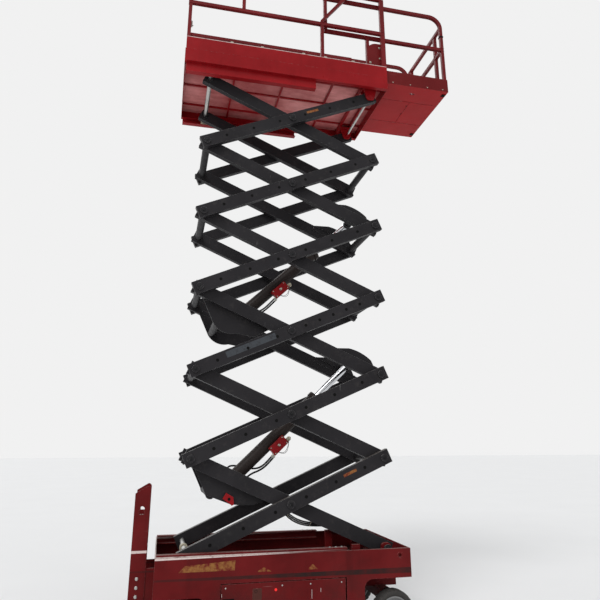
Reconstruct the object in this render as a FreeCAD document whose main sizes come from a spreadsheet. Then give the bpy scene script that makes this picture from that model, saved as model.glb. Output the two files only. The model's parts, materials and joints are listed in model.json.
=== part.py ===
import FreeCAD, Part
import math
import os
import re
import Sketcher

# Self-propelled electric scissor lift with a roll-out deck extension, half raised.
# Millimetres, +Z up, +X towards the steered front wheels and the deck extension.
# The part's origin lies on the floor under the middle of its overall box.
# Drawing positions along X count from the middle of the scissor stack as folded in the photograph.

SIZES = [
    # name, value, what it is
    ("fold_angle", 23.5, "slope of every scissor arm, degrees"),
    ("arm_length", 2010, "arm, from pin to pin"),
    ("arm_depth", 130, "arm tube, height"),
    ("arm_width", 60, "arm tube, width"),
    ("arm_wall", 6, "arm tube, wall"),
    ("arm_end", 62, "arm tube beyond the end pin"),
    ("arm_gap", 12, "between an inner and an outer arm"),
    ("arm_room", 115, "outer arms' outside face, in from the chassis side"),
    ("weld", 1, "how far a welded piece runs into what carries it"),
    ("seat", 0.3, "gap of a bolted or loose piece to its seat"),
    ("air", 5, "least gap between pieces that move past each other"),
    ("pin_radius", 25, "scissor pin"),
    ("pin_play", 0.3, "running clearance round a pin"),
    ("pin_root", 20, "a scissor pin's end inside its arm"),
    ("cap_radius", 36, "keeper cap on a pin's end"),
    ("cap_thick", 8, "keeper cap"),
    ("cross_radius", 40, "cross tubes of the inner frames"),
    ("right_pin", 921, "fixed pins, forward of the middle"),
    ("low_pin", 700, "lowest pins above the floor"),
    ("barrel_pin_in", 416, "cylinder's lower pin, in from its arm's rear pin"),
    ("barrel_pin_drop", 150, "cylinder's lower pin, below its arm"),
    ("rod_pin_in", 220, "cylinder's upper pin, in from its arm's front pin"),
    ("rod_pin_rise", 80, "cylinder's upper pin, above its arm"),
    ("barrel_radius", 65, "cylinder barrel"),
    ("barrel_wall", 15, "cylinder barrel, wall"),
    ("barrel_foot", 98, "cylinder barrel's bore, from its pin"),
    ("barrel_neck", 37, "neck between a cylinder barrel and its eye"),
    ("gland_radius", 74, "cylinder gland"),
    ("gland_length", 45, "cylinder gland"),
    ("gland_show", 532, "gland's front, back from the rod's pin in the photograph"),
    ("rod_radius", 35, "cylinder rod"),
    ("rod_hold", 42, "rod inside the barrel at full stroke, before the gland's front"),
    ("rod_stroke", 788, "rod still to come out of the barrel"),
    ("eye_radius", 50, "cylinder eyes"),
    ("eye_half", 40, "half the width of a cylinder eye"),
    ("eye_pin", 30, "pin in a cylinder eye"),
    ("ear_air", 8, "between a cylinder eye and its ears"),
    ("ear_thick", 22, "cylinder ears"),
    ("gusset_thick", 12, "gusset plates"),
    ("mount_rear", 343, "lower gusset's rear end, behind the pin"),
    ("mount_heel", 146, "lower gusset's heel, behind the pin"),
    ("mount_heel_drop", 78, "lower gusset's heel, below the pin"),
    ("mount_knee", 105, "lower gusset's knee, ahead of the pin"),
    ("mount_knee_drop", 64, "lower gusset's knee, below the pin"),
    ("mount_brow", 285, "lower gusset's front bend, ahead of the pin"),
    ("mount_brow_rise", 6, "lower gusset's front bend, above the pin"),
    ("deep_drop", 86, "second cylinder's lower gusset, heel and knee below the pin"),
    ("deep_round", 205, "second cylinder's lower gusset, rounded underside"),
    ("deep_brow_drop", 40, "second cylinder's lower gusset, front bend below the pin"),
    ("mount_front", 389, "lower gusset's front end, ahead of the pin"),
    ("mount_tube", 111, "lower cross tube, behind the pin"),
    ("mount_tube_drop", 55, "lower cross tube, below the pin"),
    ("doubler_rear", 311, "lower gusset's weld strip, behind the pin"),
    ("doubler_front", 359, "lower gusset's weld strip, ahead of the pin"),
    ("horn_rear", 315, "upper gusset's rear end, behind the pin"),
    ("horn_shoulder", 150, "upper gusset's shoulder, behind the pin"),
    ("horn_rise", 55, "upper gusset's shoulder, above the pin"),
    ("horn_front", 115, "upper gusset's front slope, ahead of the pin"),
    ("horn_fall", 40, "upper gusset's front slope, above the pin"),
    ("horn_round", 480, "upper gusset's rounded top"),
    ("horn_nose", 180, "upper gusset's front end, ahead of the pin"),
    ("ear_round", 45, "ears round a cylinder pin"),
    ("pin_tube", 32, "tube that carries the ears of an upper pin"),
    ("pin_head", 6, "a cylinder pin's ends beyond its ears"),
    ("valve_start", 595, "valve block from the barrel's pin"),
    ("valve_length", 185, "valve block"),
    ("valve_top", 27, "valve block's top below the barrel's centre line"),
    ("valve_depth", 95, "valve block, height"),
    ("valve_width", 56, "valve block, width"),
    ("valve_foot", 14, "feet that bolt a valve block to its barrel"),
    ("coil_radius", 19, "valve coil"),
    ("coil_length", 42, "valve coil"),
    ("track_height", 60, "slider block and the inside of its channel"),
    ("track_play", 0.3, "slider block in its channel"),
    ("track_wall", 8, "slider channel"),
    ("track_room", 43, "slider channel's web, in from the chassis side"),
    ("track_front", 500, "low slider channel's front end"),
    ("high_track_rear", 19, "high slider channel's rear end, in from the platform's"),
    ("high_track_front", 250, "high slider channel's front end"),
    ("shaft_short", 8, "sliding shaft's end from its channel"),
    ("block_length", 90, "slider block"),
    ("block_width", 54, "slider block"),
    ("roller_radius", 38, "nylon roller at the middle of a sliding shaft"),
    ("roller_width", 40, "nylon roller at the middle of a sliding shaft"),
    ("tail_room", 88, "chassis behind the sliding pins when the arms lie flat"),
    ("chassis_front", 1093, "chassis front face"),
    ("chassis_half", 595, "half the chassis width"),
    ("rim_top", 718, "top rim of the chassis"),
    ("band_bottom", 479, "lower edge of the chassis band over the front wheel"),
    ("side_wall", 8, "chassis plates"),
    ("rim_lip", 30, "inward lip of the rim"),
    ("shelf_top", 528, "floor of the chassis trough"),
    ("keel_half", 215, "half the width of the keel box"),
    ("keel_bottom", 150, "underside of the keel box"),
    ("sill_bottom", 122, "lower edge of the chassis sides"),
    ("sill_height", 26, "sill bar"),
    ("sill_depth", 45, "sill bar and its outside face"),
    ("tail_bottom", 300, "lower edge of the chassis behind the rear wheels"),
    ("rib_room", 54, "rear cross plate, ahead of the rear wheel arch"),
    ("rib_front", 590, "front cross plate"),
    ("rib_thick", 20, "cross plates"),
    ("rib_bottom", 146, "lower edge of the cross plates"),
    ("front_arch", 644, "rear edge of the front wheel arch"),
    ("arch_corner", 75, "rounded corner of a wheel arch"),
    ("rear_arch_top", 410, "top of the rear wheel arch"),
    ("rear_arch_half", 205, "half the length of the rear wheel arch"),
    ("lashing_x", 989, "tie-down hole in the side band"),
    ("lashing_z", 662, "tie-down hole above the floor"),
    ("lashing_radius", 16, "tie-down hole"),
    ("lug_foot", 75, "half the length of a pin lug at its foot"),
    ("lug_head", 45, "half the length of a pin lug at its head"),
    ("lug_crown", 20, "half the flat top of a pin lug"),
    ("lug_rise", 45, "pin lug above its pin"),
    ("lug_thick", 26, "pin lug"),
    ("rest_front", 650, "arm rest pad's front end"),
    ("rest_length", 74, "arm rest pad"),
    ("rest_top", 745, "arm rest pad's top"),
    ("rest_thick", 34, "arm rest pad"),
    ("door_room", 118, "tray door's rear edge, ahead of the rear wheel arch"),
    ("door_front", 479, "tray door's front edge"),
    ("door_top", 500, "tray door's top edge"),
    ("door_bottom", 157, "tray door's lower edge"),
    ("door_gap", 6, "gap round a tray door"),
    ("hinge_gap", 12, "gap at a tray door's hinge edge"),
    ("hinge_inset", 8, "tray hinge from the door's edge"),
    ("hinge_depth", 12, "tray hinge from the chassis side"),
    ("hinge_radius", 7, "tray hinge pin"),
    ("hinge_grip", 31, "how far a tray hinge pin runs into the tray"),
    ("tray_box_room", 81, "tray box's rear end, ahead of the door's"),
    ("tray_wall", 6, "tray sheet"),
    ("tray_floor", 162, "underside of the tray"),
    ("tray_rise", 440, "top of the tray's box"),
    ("tray_room", 10, "tray box beside the keel"),
    ("load_top", 410, "top of the heavy block in a tray"),
    ("load_front", 347, "front of the heavy block in a tray"),
    ("load_inset", 20, "heavy block from the tray's rear and inner walls"),
    ("load_side", 40, "heavy block from the chassis side"),
    ("front_axle", 921, "front wheel centres"),
    ("axle_room", 140, "rear wheel centres, ahead of the sliding pins when the arms lie flat"),
    ("tyre_radius", 190.5, "tyre"),
    ("tyre_width", 127, "tyre"),
    ("tyre_crown", 22, "tyre's rounded edge, across"),
    ("tyre_shoulder", 12, "tyre's rounded edge, down"),
    ("rim_radius", 140, "wheel rim"),
    ("rim_wall", 12, "wheel rim"),
    ("rim_inset", 8, "wheel rim from the tyre's side"),
    ("dish_out", 30, "wheel dish at the rim, out from the wheel's middle"),
    ("dish_in", 16, "wheel dish at the hub, out from the wheel's middle"),
    ("dish_thick", 12, "wheel dish"),
    ("hub_radius", 62, "wheel hub"),
    ("hub_half", 39, "half the length of the wheel hub"),
    ("spindle_radius", 30, "wheel spindle"),
    ("spindle_inset", 20, "spindle's end from the chassis side"),
    ("motor_radius", 85, "drive motor"),
    ("motor_room", 12, "drive motor from the tyre"),
    ("kingpin_room", 180, "kingpins from the chassis side"),
    ("kingpin_radius", 20, "kingpin"),
    ("kingpin_head", 10, "kingpin's head, wider than the pin"),
    ("sleeve_radius", 36, "kingpin sleeve"),
    ("sleeve_lip", 5, "kingpin sleeve beyond the axle beam"),
    ("axle_half", 50, "half the length of the front axle beam along the lift"),
    ("axle_bottom", 255, "underside of the front axle beam"),
    ("axle_top", 345, "top of the front axle beam"),
    ("knuckle_half", 34, "half the length of a steering knuckle"),
    ("knuckle_in", 32, "steering knuckle, in from its kingpin"),
    ("knuckle_out", 26, "steering knuckle, out from its kingpin"),
    ("knuckle_bottom", 150, "underside of a steering knuckle"),
    ("tie_arm", 110, "steering arm"),
    ("tie_half", 18, "half the width of a steering arm and radius of its end"),
    ("tie_thick", 18, "steering arm"),
    ("tie_pin", 8, "tie rod pin"),
    ("tie_bottom", 123, "underside of the tie rod's eyes"),
    ("tie_eye", 26, "height of the tie rod's eyes"),
    ("tie_radius", 9, "tie rod"),
    ("guard_pin", 5, "pothole guard's pivot pin"),
    ("guard_axis", 106, "pothole guard's pivot above the floor"),
    ("guard_depth", 25, "pothole guard's pivot from the chassis side"),
    ("guard_end", 20, "pothole guard short of the wheel arches"),
    ("guard_bottom", 22, "pothole guard's foot above the floor"),
    ("guard_foot", 20, "pothole guard's foot, inwards"),
    ("guard_tube", 8, "pothole guard's tube and sheet"),
    ("hanger_half", 15, "half the width of a pothole guard hanger"),
    ("hanger_thick", 10, "pothole guard hanger"),
    ("hanger_room", 4, "hanger from the wheel arch"),
    ("ladder_room", 73, "ladder's front edge from the chassis"),
    ("ladder_depth", 135, "ladder's stringers, front to rear"),
    ("ladder_half", 215, "half the ladder's width"),
    ("ladder_top", 1260, "ladder's top"),
    ("ladder_foot", 200, "ladder's lower end"),
    ("ladder_wall", 8, "ladder's stringers"),
    ("ladder_slope", 60, "how far a stringer's top falls to the rear"),
    ("ladder_nose", 30, "rounded front corner of a stringer"),
    ("grip_bottom", 1020, "hand hole's lower end"),
    ("grip_height", 70, "hand hole"),
    ("grip_inset", 45, "hand hole from a stringer's edges"),
    ("rung_top", 980, "highest tread"),
    ("rung_pitch", 230, "between two treads"),
    ("rung_thick", 28, "tread"),
    ("rung_inset", 12, "tread from a stringer's edges"),
    ("brace_top", 580, "ladder bracket's top"),
    ("brace_bottom", 320, "ladder bracket's lower end"),
    ("brace_thick", 10, "ladder bracket"),
    ("deck_tail", 36, "platform's rear end beyond the chassis"),
    ("deck_front", 1104, "platform front end"),
    ("deck_over", 2, "platform side beyond the chassis side"),
    ("deck_rise", 64, "top pins to the underside of the platform band"),
    ("band_height", 150, "platform side channel"),
    ("deck_sheet", 6, "platform side channel and floor sheet"),
    ("deck_floor", 118, "platform floor above the band's underside"),
    ("band_lip", 45, "platform band's inward lip"),
    ("toe_top", 305, "toe board's top above the band's underside"),
    ("seam_width", 22, "lengthwise rib under the platform"),
    ("seam_depth", 16, "ribs under the platform"),
    ("seam_side", 400, "outer lengthwise ribs from the middle"),
    ("seam_x", 640, "rear cross rib, back from the middle"),
    ("seam_pitch", 570, "between two cross ribs"),
    ("carrier_rear", 95, "cross beam over the fixed pins, behind them"),
    ("carrier_front", 40, "cross beam over the fixed pins, ahead of them"),
    ("bearer_low", 36, "underside of the pin bearers"),
    ("bearer_high", 60, "top of the pin bearers' foot plate"),
    ("bearer_half", 90, "half the length of the pin bearers"),
    ("bracket_foot", 80, "half the length of a platform bracket at its foot"),
    ("bracket_drop", 42, "platform bracket below its pin"),
    ("bracket_thick", 20, "platform bracket"),
    ("cross_rod", 12, "cross rod between the platform's fixed pins"),
    ("nose_front", 1912, "extension deck's front end"),
    ("nose_room", 57, "extension deck's side, in from the platform's"),
    ("nose_length", 1150, "extension deck"),
    ("nose_rise", 127, "extension deck's underside above the band's"),
    ("nose_depth", 172, "extension deck's side, height"),
    ("runner_rear", 60, "slide strips' rear end, back from the middle"),
    ("runner_width", 32, "slide strips under the extension deck"),
    ("runner_room", 8, "slide strips, in from the extension's side"),
    ("groove_width", 8, "grooves under the extension deck"),
    ("groove_depth", 3, "grooves under the extension deck"),
    ("groove_side", 235, "lengthwise grooves from the middle"),
    ("groove_x", 1542, "cross groove"),
    ("slot_x", 1500, "oval hole under the extension deck"),
    ("slot_side", 403, "oval hole from the middle"),
    ("slot_half", 14, "half the length of the oval hole's straight part"),
    ("slot_radius", 16, "oval hole's ends"),
    ("shield_rear", 884, "upright plate's rear edge"),
    ("shield_front", 1074, "upright plate's front edge"),
    ("shield_top", 655, "upright plate's top above the band's underside"),
    ("shield_round", 130, "upright plate's rounded corner"),
    ("rail_size", 38, "guard rail tube"),
    ("mid_rail", 772, "middle rail above the band's underside"),
    ("top_rail", 1270, "top rail above the band's underside"),
    ("upper_post", 596, "short post's middle, back from the middle"),
    ("bent_post", 325, "bent post's middle"),
    ("bend_height", 815, "where the bent post starts to lean"),
    ("bend_run", 345, "how far the bent post leans forward"),
    ("bend_half", 24, "half the leaning part, measured along the lift"),
    ("front_post", 54, "platform's front posts, along the lift"),
    ("nose_mid_rail", 740, "extension's middle rail above the band's underside"),
    ("nose_top_rail", 1210, "extension's top rail above the band's underside"),
    ("nose_rail_rear", 365, "rear end of the extension's rails"),
    ("nose_rail_room", 28, "extension's rails, in from the deck's side"),
    ("nose_post", 350, "extension's front posts from the middle"),
    ("rail_bend", 150, "bend of the extension's top rail"),
    ("gate_width", 560, "entry gate"),
    ("gate_gap", 8, "gap beside the entry gate"),
    ("gate_low", 300, "entry gate's lowest rail above the band's underside"),
    ("gate_hinge_low", 480, "gate's lower hinge above the band's underside"),
    ("gate_hinge_high", 1010, "gate's upper hinge above the band's underside"),
    ("gate_pin", 5, "gate's hinge pin"),
    ("gate_eye", 11, "gate's hinge eye"),
    ("gate_leaf", 6, "gate's hinge plate"),
    ("gate_tip", 8, "gate's hinge plate round its pin"),
    ("gate_out", 16, "gate's hinge, in from the posts"),
    ("gate_pin_out", 3, "gate's hinge pin, out from the gate's side"),
    ("gate_span", 22, "gate's hinge eye, height"),
]

# Sizes that follow from the ones above, written the same way.
DERIVED = {
    "left_pin": "right_pin - arm_length * cos(fold_angle)",
    "arm_half": "arm_length / 2",
    "barrel_pin_back": "arm_half - barrel_pin_in",
    "rod_pin_ahead": "arm_half - rod_pin_in",
    "chassis_rear": "arm_length - right_pin + tail_room",
    "rear_axle": "arm_length - right_pin - axle_room",
    "rib_rear": "rear_axle - rear_arch_half - rib_room",
    "door_rear": "rear_axle - rear_arch_half - door_room",
    "tray_box_rear": "door_rear - tray_box_room",
    "ladder_front": "chassis_rear + ladder_room",
    "ladder_rear": "ladder_front + ladder_depth",
    "deck_rear": "chassis_rear + deck_tail",
    "arm_reach": "arm_half + arm_end",
    "level_rise": "arm_length * sin(fold_angle)",
    "top_pin": "low_pin + 6 * level_rise",
    "outer_face": "chassis_half - arm_room",
    "outer_inside": "outer_face - arm_width",
    "inner_face": "outer_inside - arm_gap",
    "inner_inside": "inner_face - arm_width",
    "gusset_face": "inner_inside - air",
    "gusset_back": "gusset_face - gusset_thick",
    "pin_bore": "pin_radius + pin_play",
    "cap_start": "outer_face + air",
    "channel_face": "chassis_half - track_room",
    "block_inside": "channel_face - air - block_width",
    "flange_inside": "cap_start + cap_thick + air",
    "shaft_end": "channel_face - shaft_short",
    "channel_half": "track_height / 2 + track_play",
    "tray_half_front": "door_front - hinge_gap",
    "tray_half_rear": "door_rear - door_gap",
    "hinge_x": "tray_half_front - hinge_inset",
    "hinge_y": "chassis_half - hinge_depth",
    "kingpin_side": "chassis_half - kingpin_room",
    "wheel_inside": "chassis_half - tyre_width",
    "deck_half": "chassis_half + deck_over",
    "deck_z": "top_pin + deck_rise",
    "rail_side": "deck_half - deck_sheet - seat - rail_size / 2",
    "rail_end": "deck_rear - deck_sheet - seat - rail_size / 2",
    "rail_nose": "deck_front - deck_sheet - seat - rail_size / 2",
    "nose_half": "deck_half - nose_room",
    "nose_rear": "nose_front - nose_length",
    "nose_rail_side": "nose_half - nose_rail_room",
    "nose_rail_front": "nose_front - deck_sheet - seat - rail_size / 2",
    "span_x": "rod_pin_ahead * cos(fold_angle) + barrel_pin_back * cos(fold_angle)"
              " + (rod_pin_rise + barrel_pin_drop) * sin(fold_angle)",
    "span_z": "2 * level_rise - (rod_pin_ahead + barrel_pin_back) * sin(fold_angle)"
              " + (rod_pin_rise + barrel_pin_drop) * cos(fold_angle)",
    "cylinder_angle": "atan2(span_z; span_x)",
    "cylinder_length": "sqrt(span_x * span_x + span_z * span_z)",
    "barrel_length": "cylinder_length - gland_show",
    "rod_length": "gland_show + rod_stroke + rod_hold",
    "ear_inside": "eye_half + ear_air",
    "ear_outside": "ear_inside + ear_thick",
    "guard_y": "chassis_half - guard_depth",
    "guard_rear": "-rear_axle + rear_arch_half",
    "post_side": "gate_width / 2 + gate_gap + rail_size / 2",
    "gate_hinge_x": "-rail_end + rail_size / 2 + gate_out",
    "gate_hinge_y": "gate_width / 2 + gate_pin_out",
    "origin_x": "(nose_front - ladder_rear) / 2",
}

doc = FreeCAD.newDocument("ScissorLift")
sheet = doc.addObject("Spreadsheet::Sheet", "Sizes")
for row, (alias, value, note) in enumerate(SIZES, start=1):
    sheet.set(f"A{row}", note)
    sheet.set(f"B{row}", str(value))
    sheet.setAlias(f"B{row}", alias)
doc.recompute()
ALIASES = {alias for alias, value, note in SIZES}
NODES = []


def formula(text):
    """A size formula as the document writes it, with derived names opened out."""
    def swap(match):
        word = match.group(0)
        if word in DERIVED:
            return "(" + formula(DERIVED[word]) + ")"
        return "Sizes." + word if word in ALIASES else word
    return re.sub(r"[a-z][a-z_0-9]*", swap, str(text))


def number(text):
    """The value that a size formula has now."""
    result = sheet.evalExpression(formula(text))
    return float(getattr(result, "Value", result))


def place(item, x="0", y="0", z="0", turn="0"):
    """Bind an object's place, and its turn about the Y axis."""
    if turn != "0":
        item.Placement = FreeCAD.Placement(
            FreeCAD.Vector(0, 0, 0), FreeCAD.Rotation(FreeCAD.Vector(0, 1, 0), 10))
        item.setExpression("Placement.Rotation.Angle", formula(turn))
    for axis, text in (("x", x), ("y", y), ("z", z)):
        if text != "0":
            item.setExpression("Placement.Base." + axis, formula(text))
    return item


def box(x, y, z):
    """A block between pairs of positions along X, Y and Z."""
    item = doc.addObject("Part::Box", "Block")
    for size, (low, high) in (("Length", x), ("Width", y), ("Height", z)):
        item.setExpression(size, formula(f"({high}) - ({low})"))
    return place(item, x[0], y[0], z[0])


def round_bar(along, radius, span, x="0", y="0", z="0"):
    """A cylinder along one axis, between two positions on it."""
    item = doc.addObject("Part::Cylinder", "Bar")
    item.setExpression("Radius", formula(radius))
    item.setExpression("Height", formula(f"({span[1]}) - ({span[0]})"))
    turns = {"x": (0, 1, 0, 90), "y": (1, 0, 0, -90), "z": (0, 0, 1, 0)}
    ax, ay, az, angle = turns[along]
    item.Placement = FreeCAD.Placement(
        FreeCAD.Vector(0, 0, 0), FreeCAD.Rotation(FreeCAD.Vector(ax, ay, az), angle))
    spot = {"x": x, "y": y, "z": z}
    spot[along] = span[0]
    return place(item, spot["x"], spot["y"], spot["z"])


def fuse(pieces):
    """One solid from pieces that touch."""
    item = doc.addObject("Part::MultiFuse", "Joined")
    item.Shapes = pieces
    item.Refine = True
    return item


def group(pieces):
    """Pieces kept side by side."""
    item = doc.addObject("Part::Compound", "Set")
    item.Links = pieces
    return item


def cut(base, tools):
    """A piece less its holes."""
    item = doc.addObject("Part::Cut", "Cut")
    item.Base = base
    item.Tool = tools[0] if len(tools) == 1 else group(tools)
    item.Refine = True
    return item


def mirrored(piece):
    """The same piece on the other side of the lift."""
    item = doc.addObject("Part::Mirroring", "Other")
    item.Source = piece
    item.Normal = (0, 1, 0)
    return item


def both(piece):
    """A piece and its mirror image."""
    return [piece, mirrored(piece)]


def rounded_side(start, end, radius):
    """The arc from one corner to the next; a negative radius turns clockwise."""
    chord = end - start
    height = math.sqrt(radius * radius - chord.Length ** 2 / 4)
    inward = FreeCAD.Vector(-chord.y, chord.x, 0).normalize()
    centre = (start + end) / 2 + inward * math.copysign(height, radius)
    first, last = (start, end) if radius > 0 else (end, start)
    angles = [math.atan2(spot.y - centre.y, spot.x - centre.x) for spot in (first, last)]
    circle = Part.Circle(centre, FreeCAD.Vector(0, 0, 1), abs(radius))
    return Part.ArcOfCircle(circle, angles[0], angles[1])


def sketch_outline(body, plane_role, corners):
    """A closed outline whose corners are bound to formulas. A corner with a third item starts an arc of
    that radius, which turns left, or right where the radius is negative."""
    plane = next(f for f in body.Origin.OriginFeatures if f.Role == plane_role)
    sketch = body.newObject("Sketcher::SketchObject", "Outline")
    sketch.AttachmentSupport = [(plane, "")]
    sketch.MapMode = "FlatFace"
    spots = [FreeCAD.Vector(number(corner[0]), number(corner[1]), 0) for corner in corners]
    count = len(spots)
    radii = [number(corner[2]) if len(corner) > 2 else 0 for corner in corners]
    for i, radius in enumerate(radii):
        end = spots[(i + 1) % count]
        side = rounded_side(spots[i], end, radius) if radius else Part.LineSegment(spots[i], end)
        sketch.addGeometry(side, False)
    # A side's first point is its own point 1, but point 2 on an arc that turns right.
    first = [2 if radius < 0 else 1 for radius in radii]
    for i in range(count):
        after = (i + 1) % count
        sketch.addConstraint(Sketcher.Constraint("Coincident", i, 3 - first[i], after, first[after]))
    for i, corner in enumerate(corners):
        for kind, text, value in zip(("DistanceX", "DistanceY"), corner, spots[i]):
            index = sketch.addConstraint(Sketcher.Constraint(kind, -1, 1, i, first[i], value))
            sketch.setExpression(f"Constraints[{index}]", formula(text))
        if radii[i]:
            index = sketch.addConstraint(Sketcher.Constraint("Radius", i, abs(radii[i])))
            sketch.setExpression(f"Constraints[{index}]", formula(f"abs({corner[2]})"))
    return sketch


def plate(outline, y):
    """A flat plate: an outline in X and Z, between two positions along Y."""
    body = doc.addObject("PartDesign::Body", "Plate")
    sketch = sketch_outline(body, "XZ_Plane", outline)
    pad = body.newObject("PartDesign::Pad", "Thickness")
    pad.Profile = sketch
    pad.setExpression("Length", formula(f"({y[1]}) - ({y[0]})"))
    return place(body, y=y[1])


def turned(profile):
    """A solid of revolution about the Y axis: an outline in radius (X) and Y."""
    body = doc.addObject("PartDesign::Body", "Turned")
    sketch = sketch_outline(body, "XY_Plane", profile)
    spin = body.newObject("PartDesign::Revolution", "Spin")
    spin.Profile = sketch
    axis = next(f for f in body.Origin.OriginFeatures if f.Role == "Y_Axis")
    spin.ReferenceAxis = (axis, [""])
    spin.Angle = 360
    return body


def node(name, pieces, x="0", y="0", z="0", turn="0", joined=True):
    """Name a sub-part, and place it in the part's own frame."""
    item = fuse(pieces) if joined and len(pieces) > 1 else group(pieces)
    item.Label = name
    place(item, f"({x}) - origin_x", y, z, turn)
    NODES.append(item)
    return item


PIN_PLACES = ("-arm_half", "0", "arm_half")
ARM_MIDDLE = "right_pin - arm_half * cos(fold_angle)"


def hollow_arm(y):
    """One rectangular arm tube with closed ends, along X about its middle."""
    outside = box(("-arm_reach", "arm_reach"), y, ("-arm_depth / 2", "arm_depth / 2"))
    inside = box(("-arm_reach + arm_wall", "arm_reach - arm_wall"),
                 (f"{y[0]} + arm_wall", f"{y[1]} - arm_wall"),
                 ("-arm_depth / 2 + arm_wall", "arm_depth / 2 - arm_wall"))
    return cut(outside, [inside])


def outer_arms(level):
    """The pair of outer arms of one level, rising forwards."""
    bores = [round_bar("y", "pin_bore", ("outer_inside - weld", "outer_face + weld"), x=x)
             for x in PIN_PLACES]
    arm = cut(hollow_arm(("outer_inside", "outer_face")), bores)
    node(f"outer_arms_{level}", both(arm), x=ARM_MIDDLE,
         z=f"low_pin + {level - 0.5} * level_rise", turn="-fold_angle", joined=False)


def weld_strip(rear, front, low, high):
    """The strip along half an arm's depth that joins a gusset to its arm and keeps it off the next one."""
    return box((rear, front), ("gusset_face - weld", "inner_inside + weld"), (low, high))


def barrel_mount(deep):
    """Gussets, cross tube and cheeks that carry a cylinder's lower pin; the second cylinder's are deeper."""
    edge = "-arm_depth / 2 + arm_wall"
    pin_x, pin_z = "-barrel_pin_back", "-barrel_pin_drop"
    if deep:
        heel = (f"{pin_x} - mount_heel", f"{pin_z} - deep_drop", "deep_round")
        knee, brow = f"{pin_z} - deep_drop", f"{pin_z} - deep_brow_drop"
    else:
        heel = (f"{pin_x} - mount_heel", f"{pin_z} - mount_heel_drop")
        knee, brow = f"{pin_z} - mount_knee_drop", f"{pin_z} + mount_brow_rise"
    outline = ((f"{pin_x} - mount_rear", edge), heel, (f"{pin_x} + mount_knee", knee),
               (f"{pin_x} + mount_brow", brow), (f"{pin_x} + mount_front", edge))
    gusset = plate(outline, ("gusset_back", "gusset_face"))
    tube_x, tube_z = f"{pin_x} - mount_tube", f"{pin_z} - mount_tube_drop"
    cheek_y = ("ear_inside", "ear_outside")
    cheek = plate(((tube_x, f"{tube_z} - pin_tube"), (pin_x, f"{pin_z} - ear_round + weld"),
                   (pin_x, f"{pin_z} + ear_round - weld"), (tube_x, f"{tube_z} + pin_tube")), cheek_y)
    ear = round_bar("y", "ear_round", cheek_y, x=pin_x, z=pin_z)
    tube = round_bar("y", "cross_radius", ("-gusset_back - weld", "gusset_back + weld"), x=tube_x, z=tube_z)
    pin = round_bar("y", "eye_pin", ("-ear_outside - pin_head", "ear_outside + pin_head"), x=pin_x, z=pin_z)
    strip = weld_strip(f"{pin_x} - doubler_rear", f"{pin_x} + doubler_front", f"{edge} - weld", "-2 * air")
    return both(gusset) + both(cheek) + both(ear) + both(strip) + [tube, pin]


def rod_mount():
    """Raised gussets above an arm's front end, and the tubes and ears that hold the rod's pin."""
    edge = "arm_depth / 2 - arm_wall"
    pin_x, pin_z = "rod_pin_ahead", "rod_pin_rise"
    outline = ((f"{pin_x} - horn_rear", edge), (f"{pin_x} + horn_nose", edge),
               (f"{pin_x} + horn_front", f"{pin_z} + horn_fall", "horn_round"),
               (f"{pin_x} - horn_shoulder", f"{pin_z} + horn_rise"))
    gusset = plate(outline, ("gusset_back", "gusset_face"))
    ear = round_bar("y", "ear_round", ("ear_inside", "ear_outside"), x=pin_x, z=pin_z)
    tube = round_bar("y", "pin_tube", ("ear_outside - weld", "gusset_back + weld"), x=pin_x, z=pin_z)
    strip = weld_strip(f"{pin_x} - horn_rear + arm_wall", f"{pin_x} + horn_nose - 2 * arm_wall", "2 * air",
                       f"{edge} + weld")
    return both(gusset) + both(ear) + both(tube) + both(strip)


def inner_arms(level):
    """The frame of inner arms of one level, falling forwards, with its pins and keeper caps."""
    arm = hollow_arm(("inner_inside", "inner_face"))
    sliding = level == 6
    if sliding:
        bore = round_bar("y", "pin_bore", ("inner_inside - weld", "inner_face + weld"), x="-arm_half")
        arm = cut(arm, [bore])
    pieces = both(arm)
    for x in PIN_PLACES[1:] if sliding else PIN_PLACES:
        pieces += both(round_bar("y", "pin_radius", ("inner_face - pin_root", "cap_start + weld"), x=x))
        pieces += both(round_bar("y", "cap_radius", ("cap_start", "cap_start + cap_thick"), x=x))
    for x in ("arm_half",) if sliding else ("-arm_half", "arm_half"):
        pieces.append(round_bar("y", "cross_radius", ("-inner_inside - weld", "inner_inside + weld"), x=x))
    if level in (1, 3):
        pieces += barrel_mount(deep=level == 3)
    if level in (3, 5):
        pieces += rod_mount()
    node(f"inner_arms_{level}", pieces, x=ARM_MIDDLE,
         z=f"low_pin + {level - 0.5} * level_rise", turn="fold_angle")


def slide_shaft(name, level_z):
    """A bright shaft across the lift, which slides the scissor stack's rear ends along the channels."""
    shaft = round_bar("y", "pin_radius", ("-shaft_end", "shaft_end"))
    node(name, [shaft], x="left_pin", z=level_z)


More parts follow.
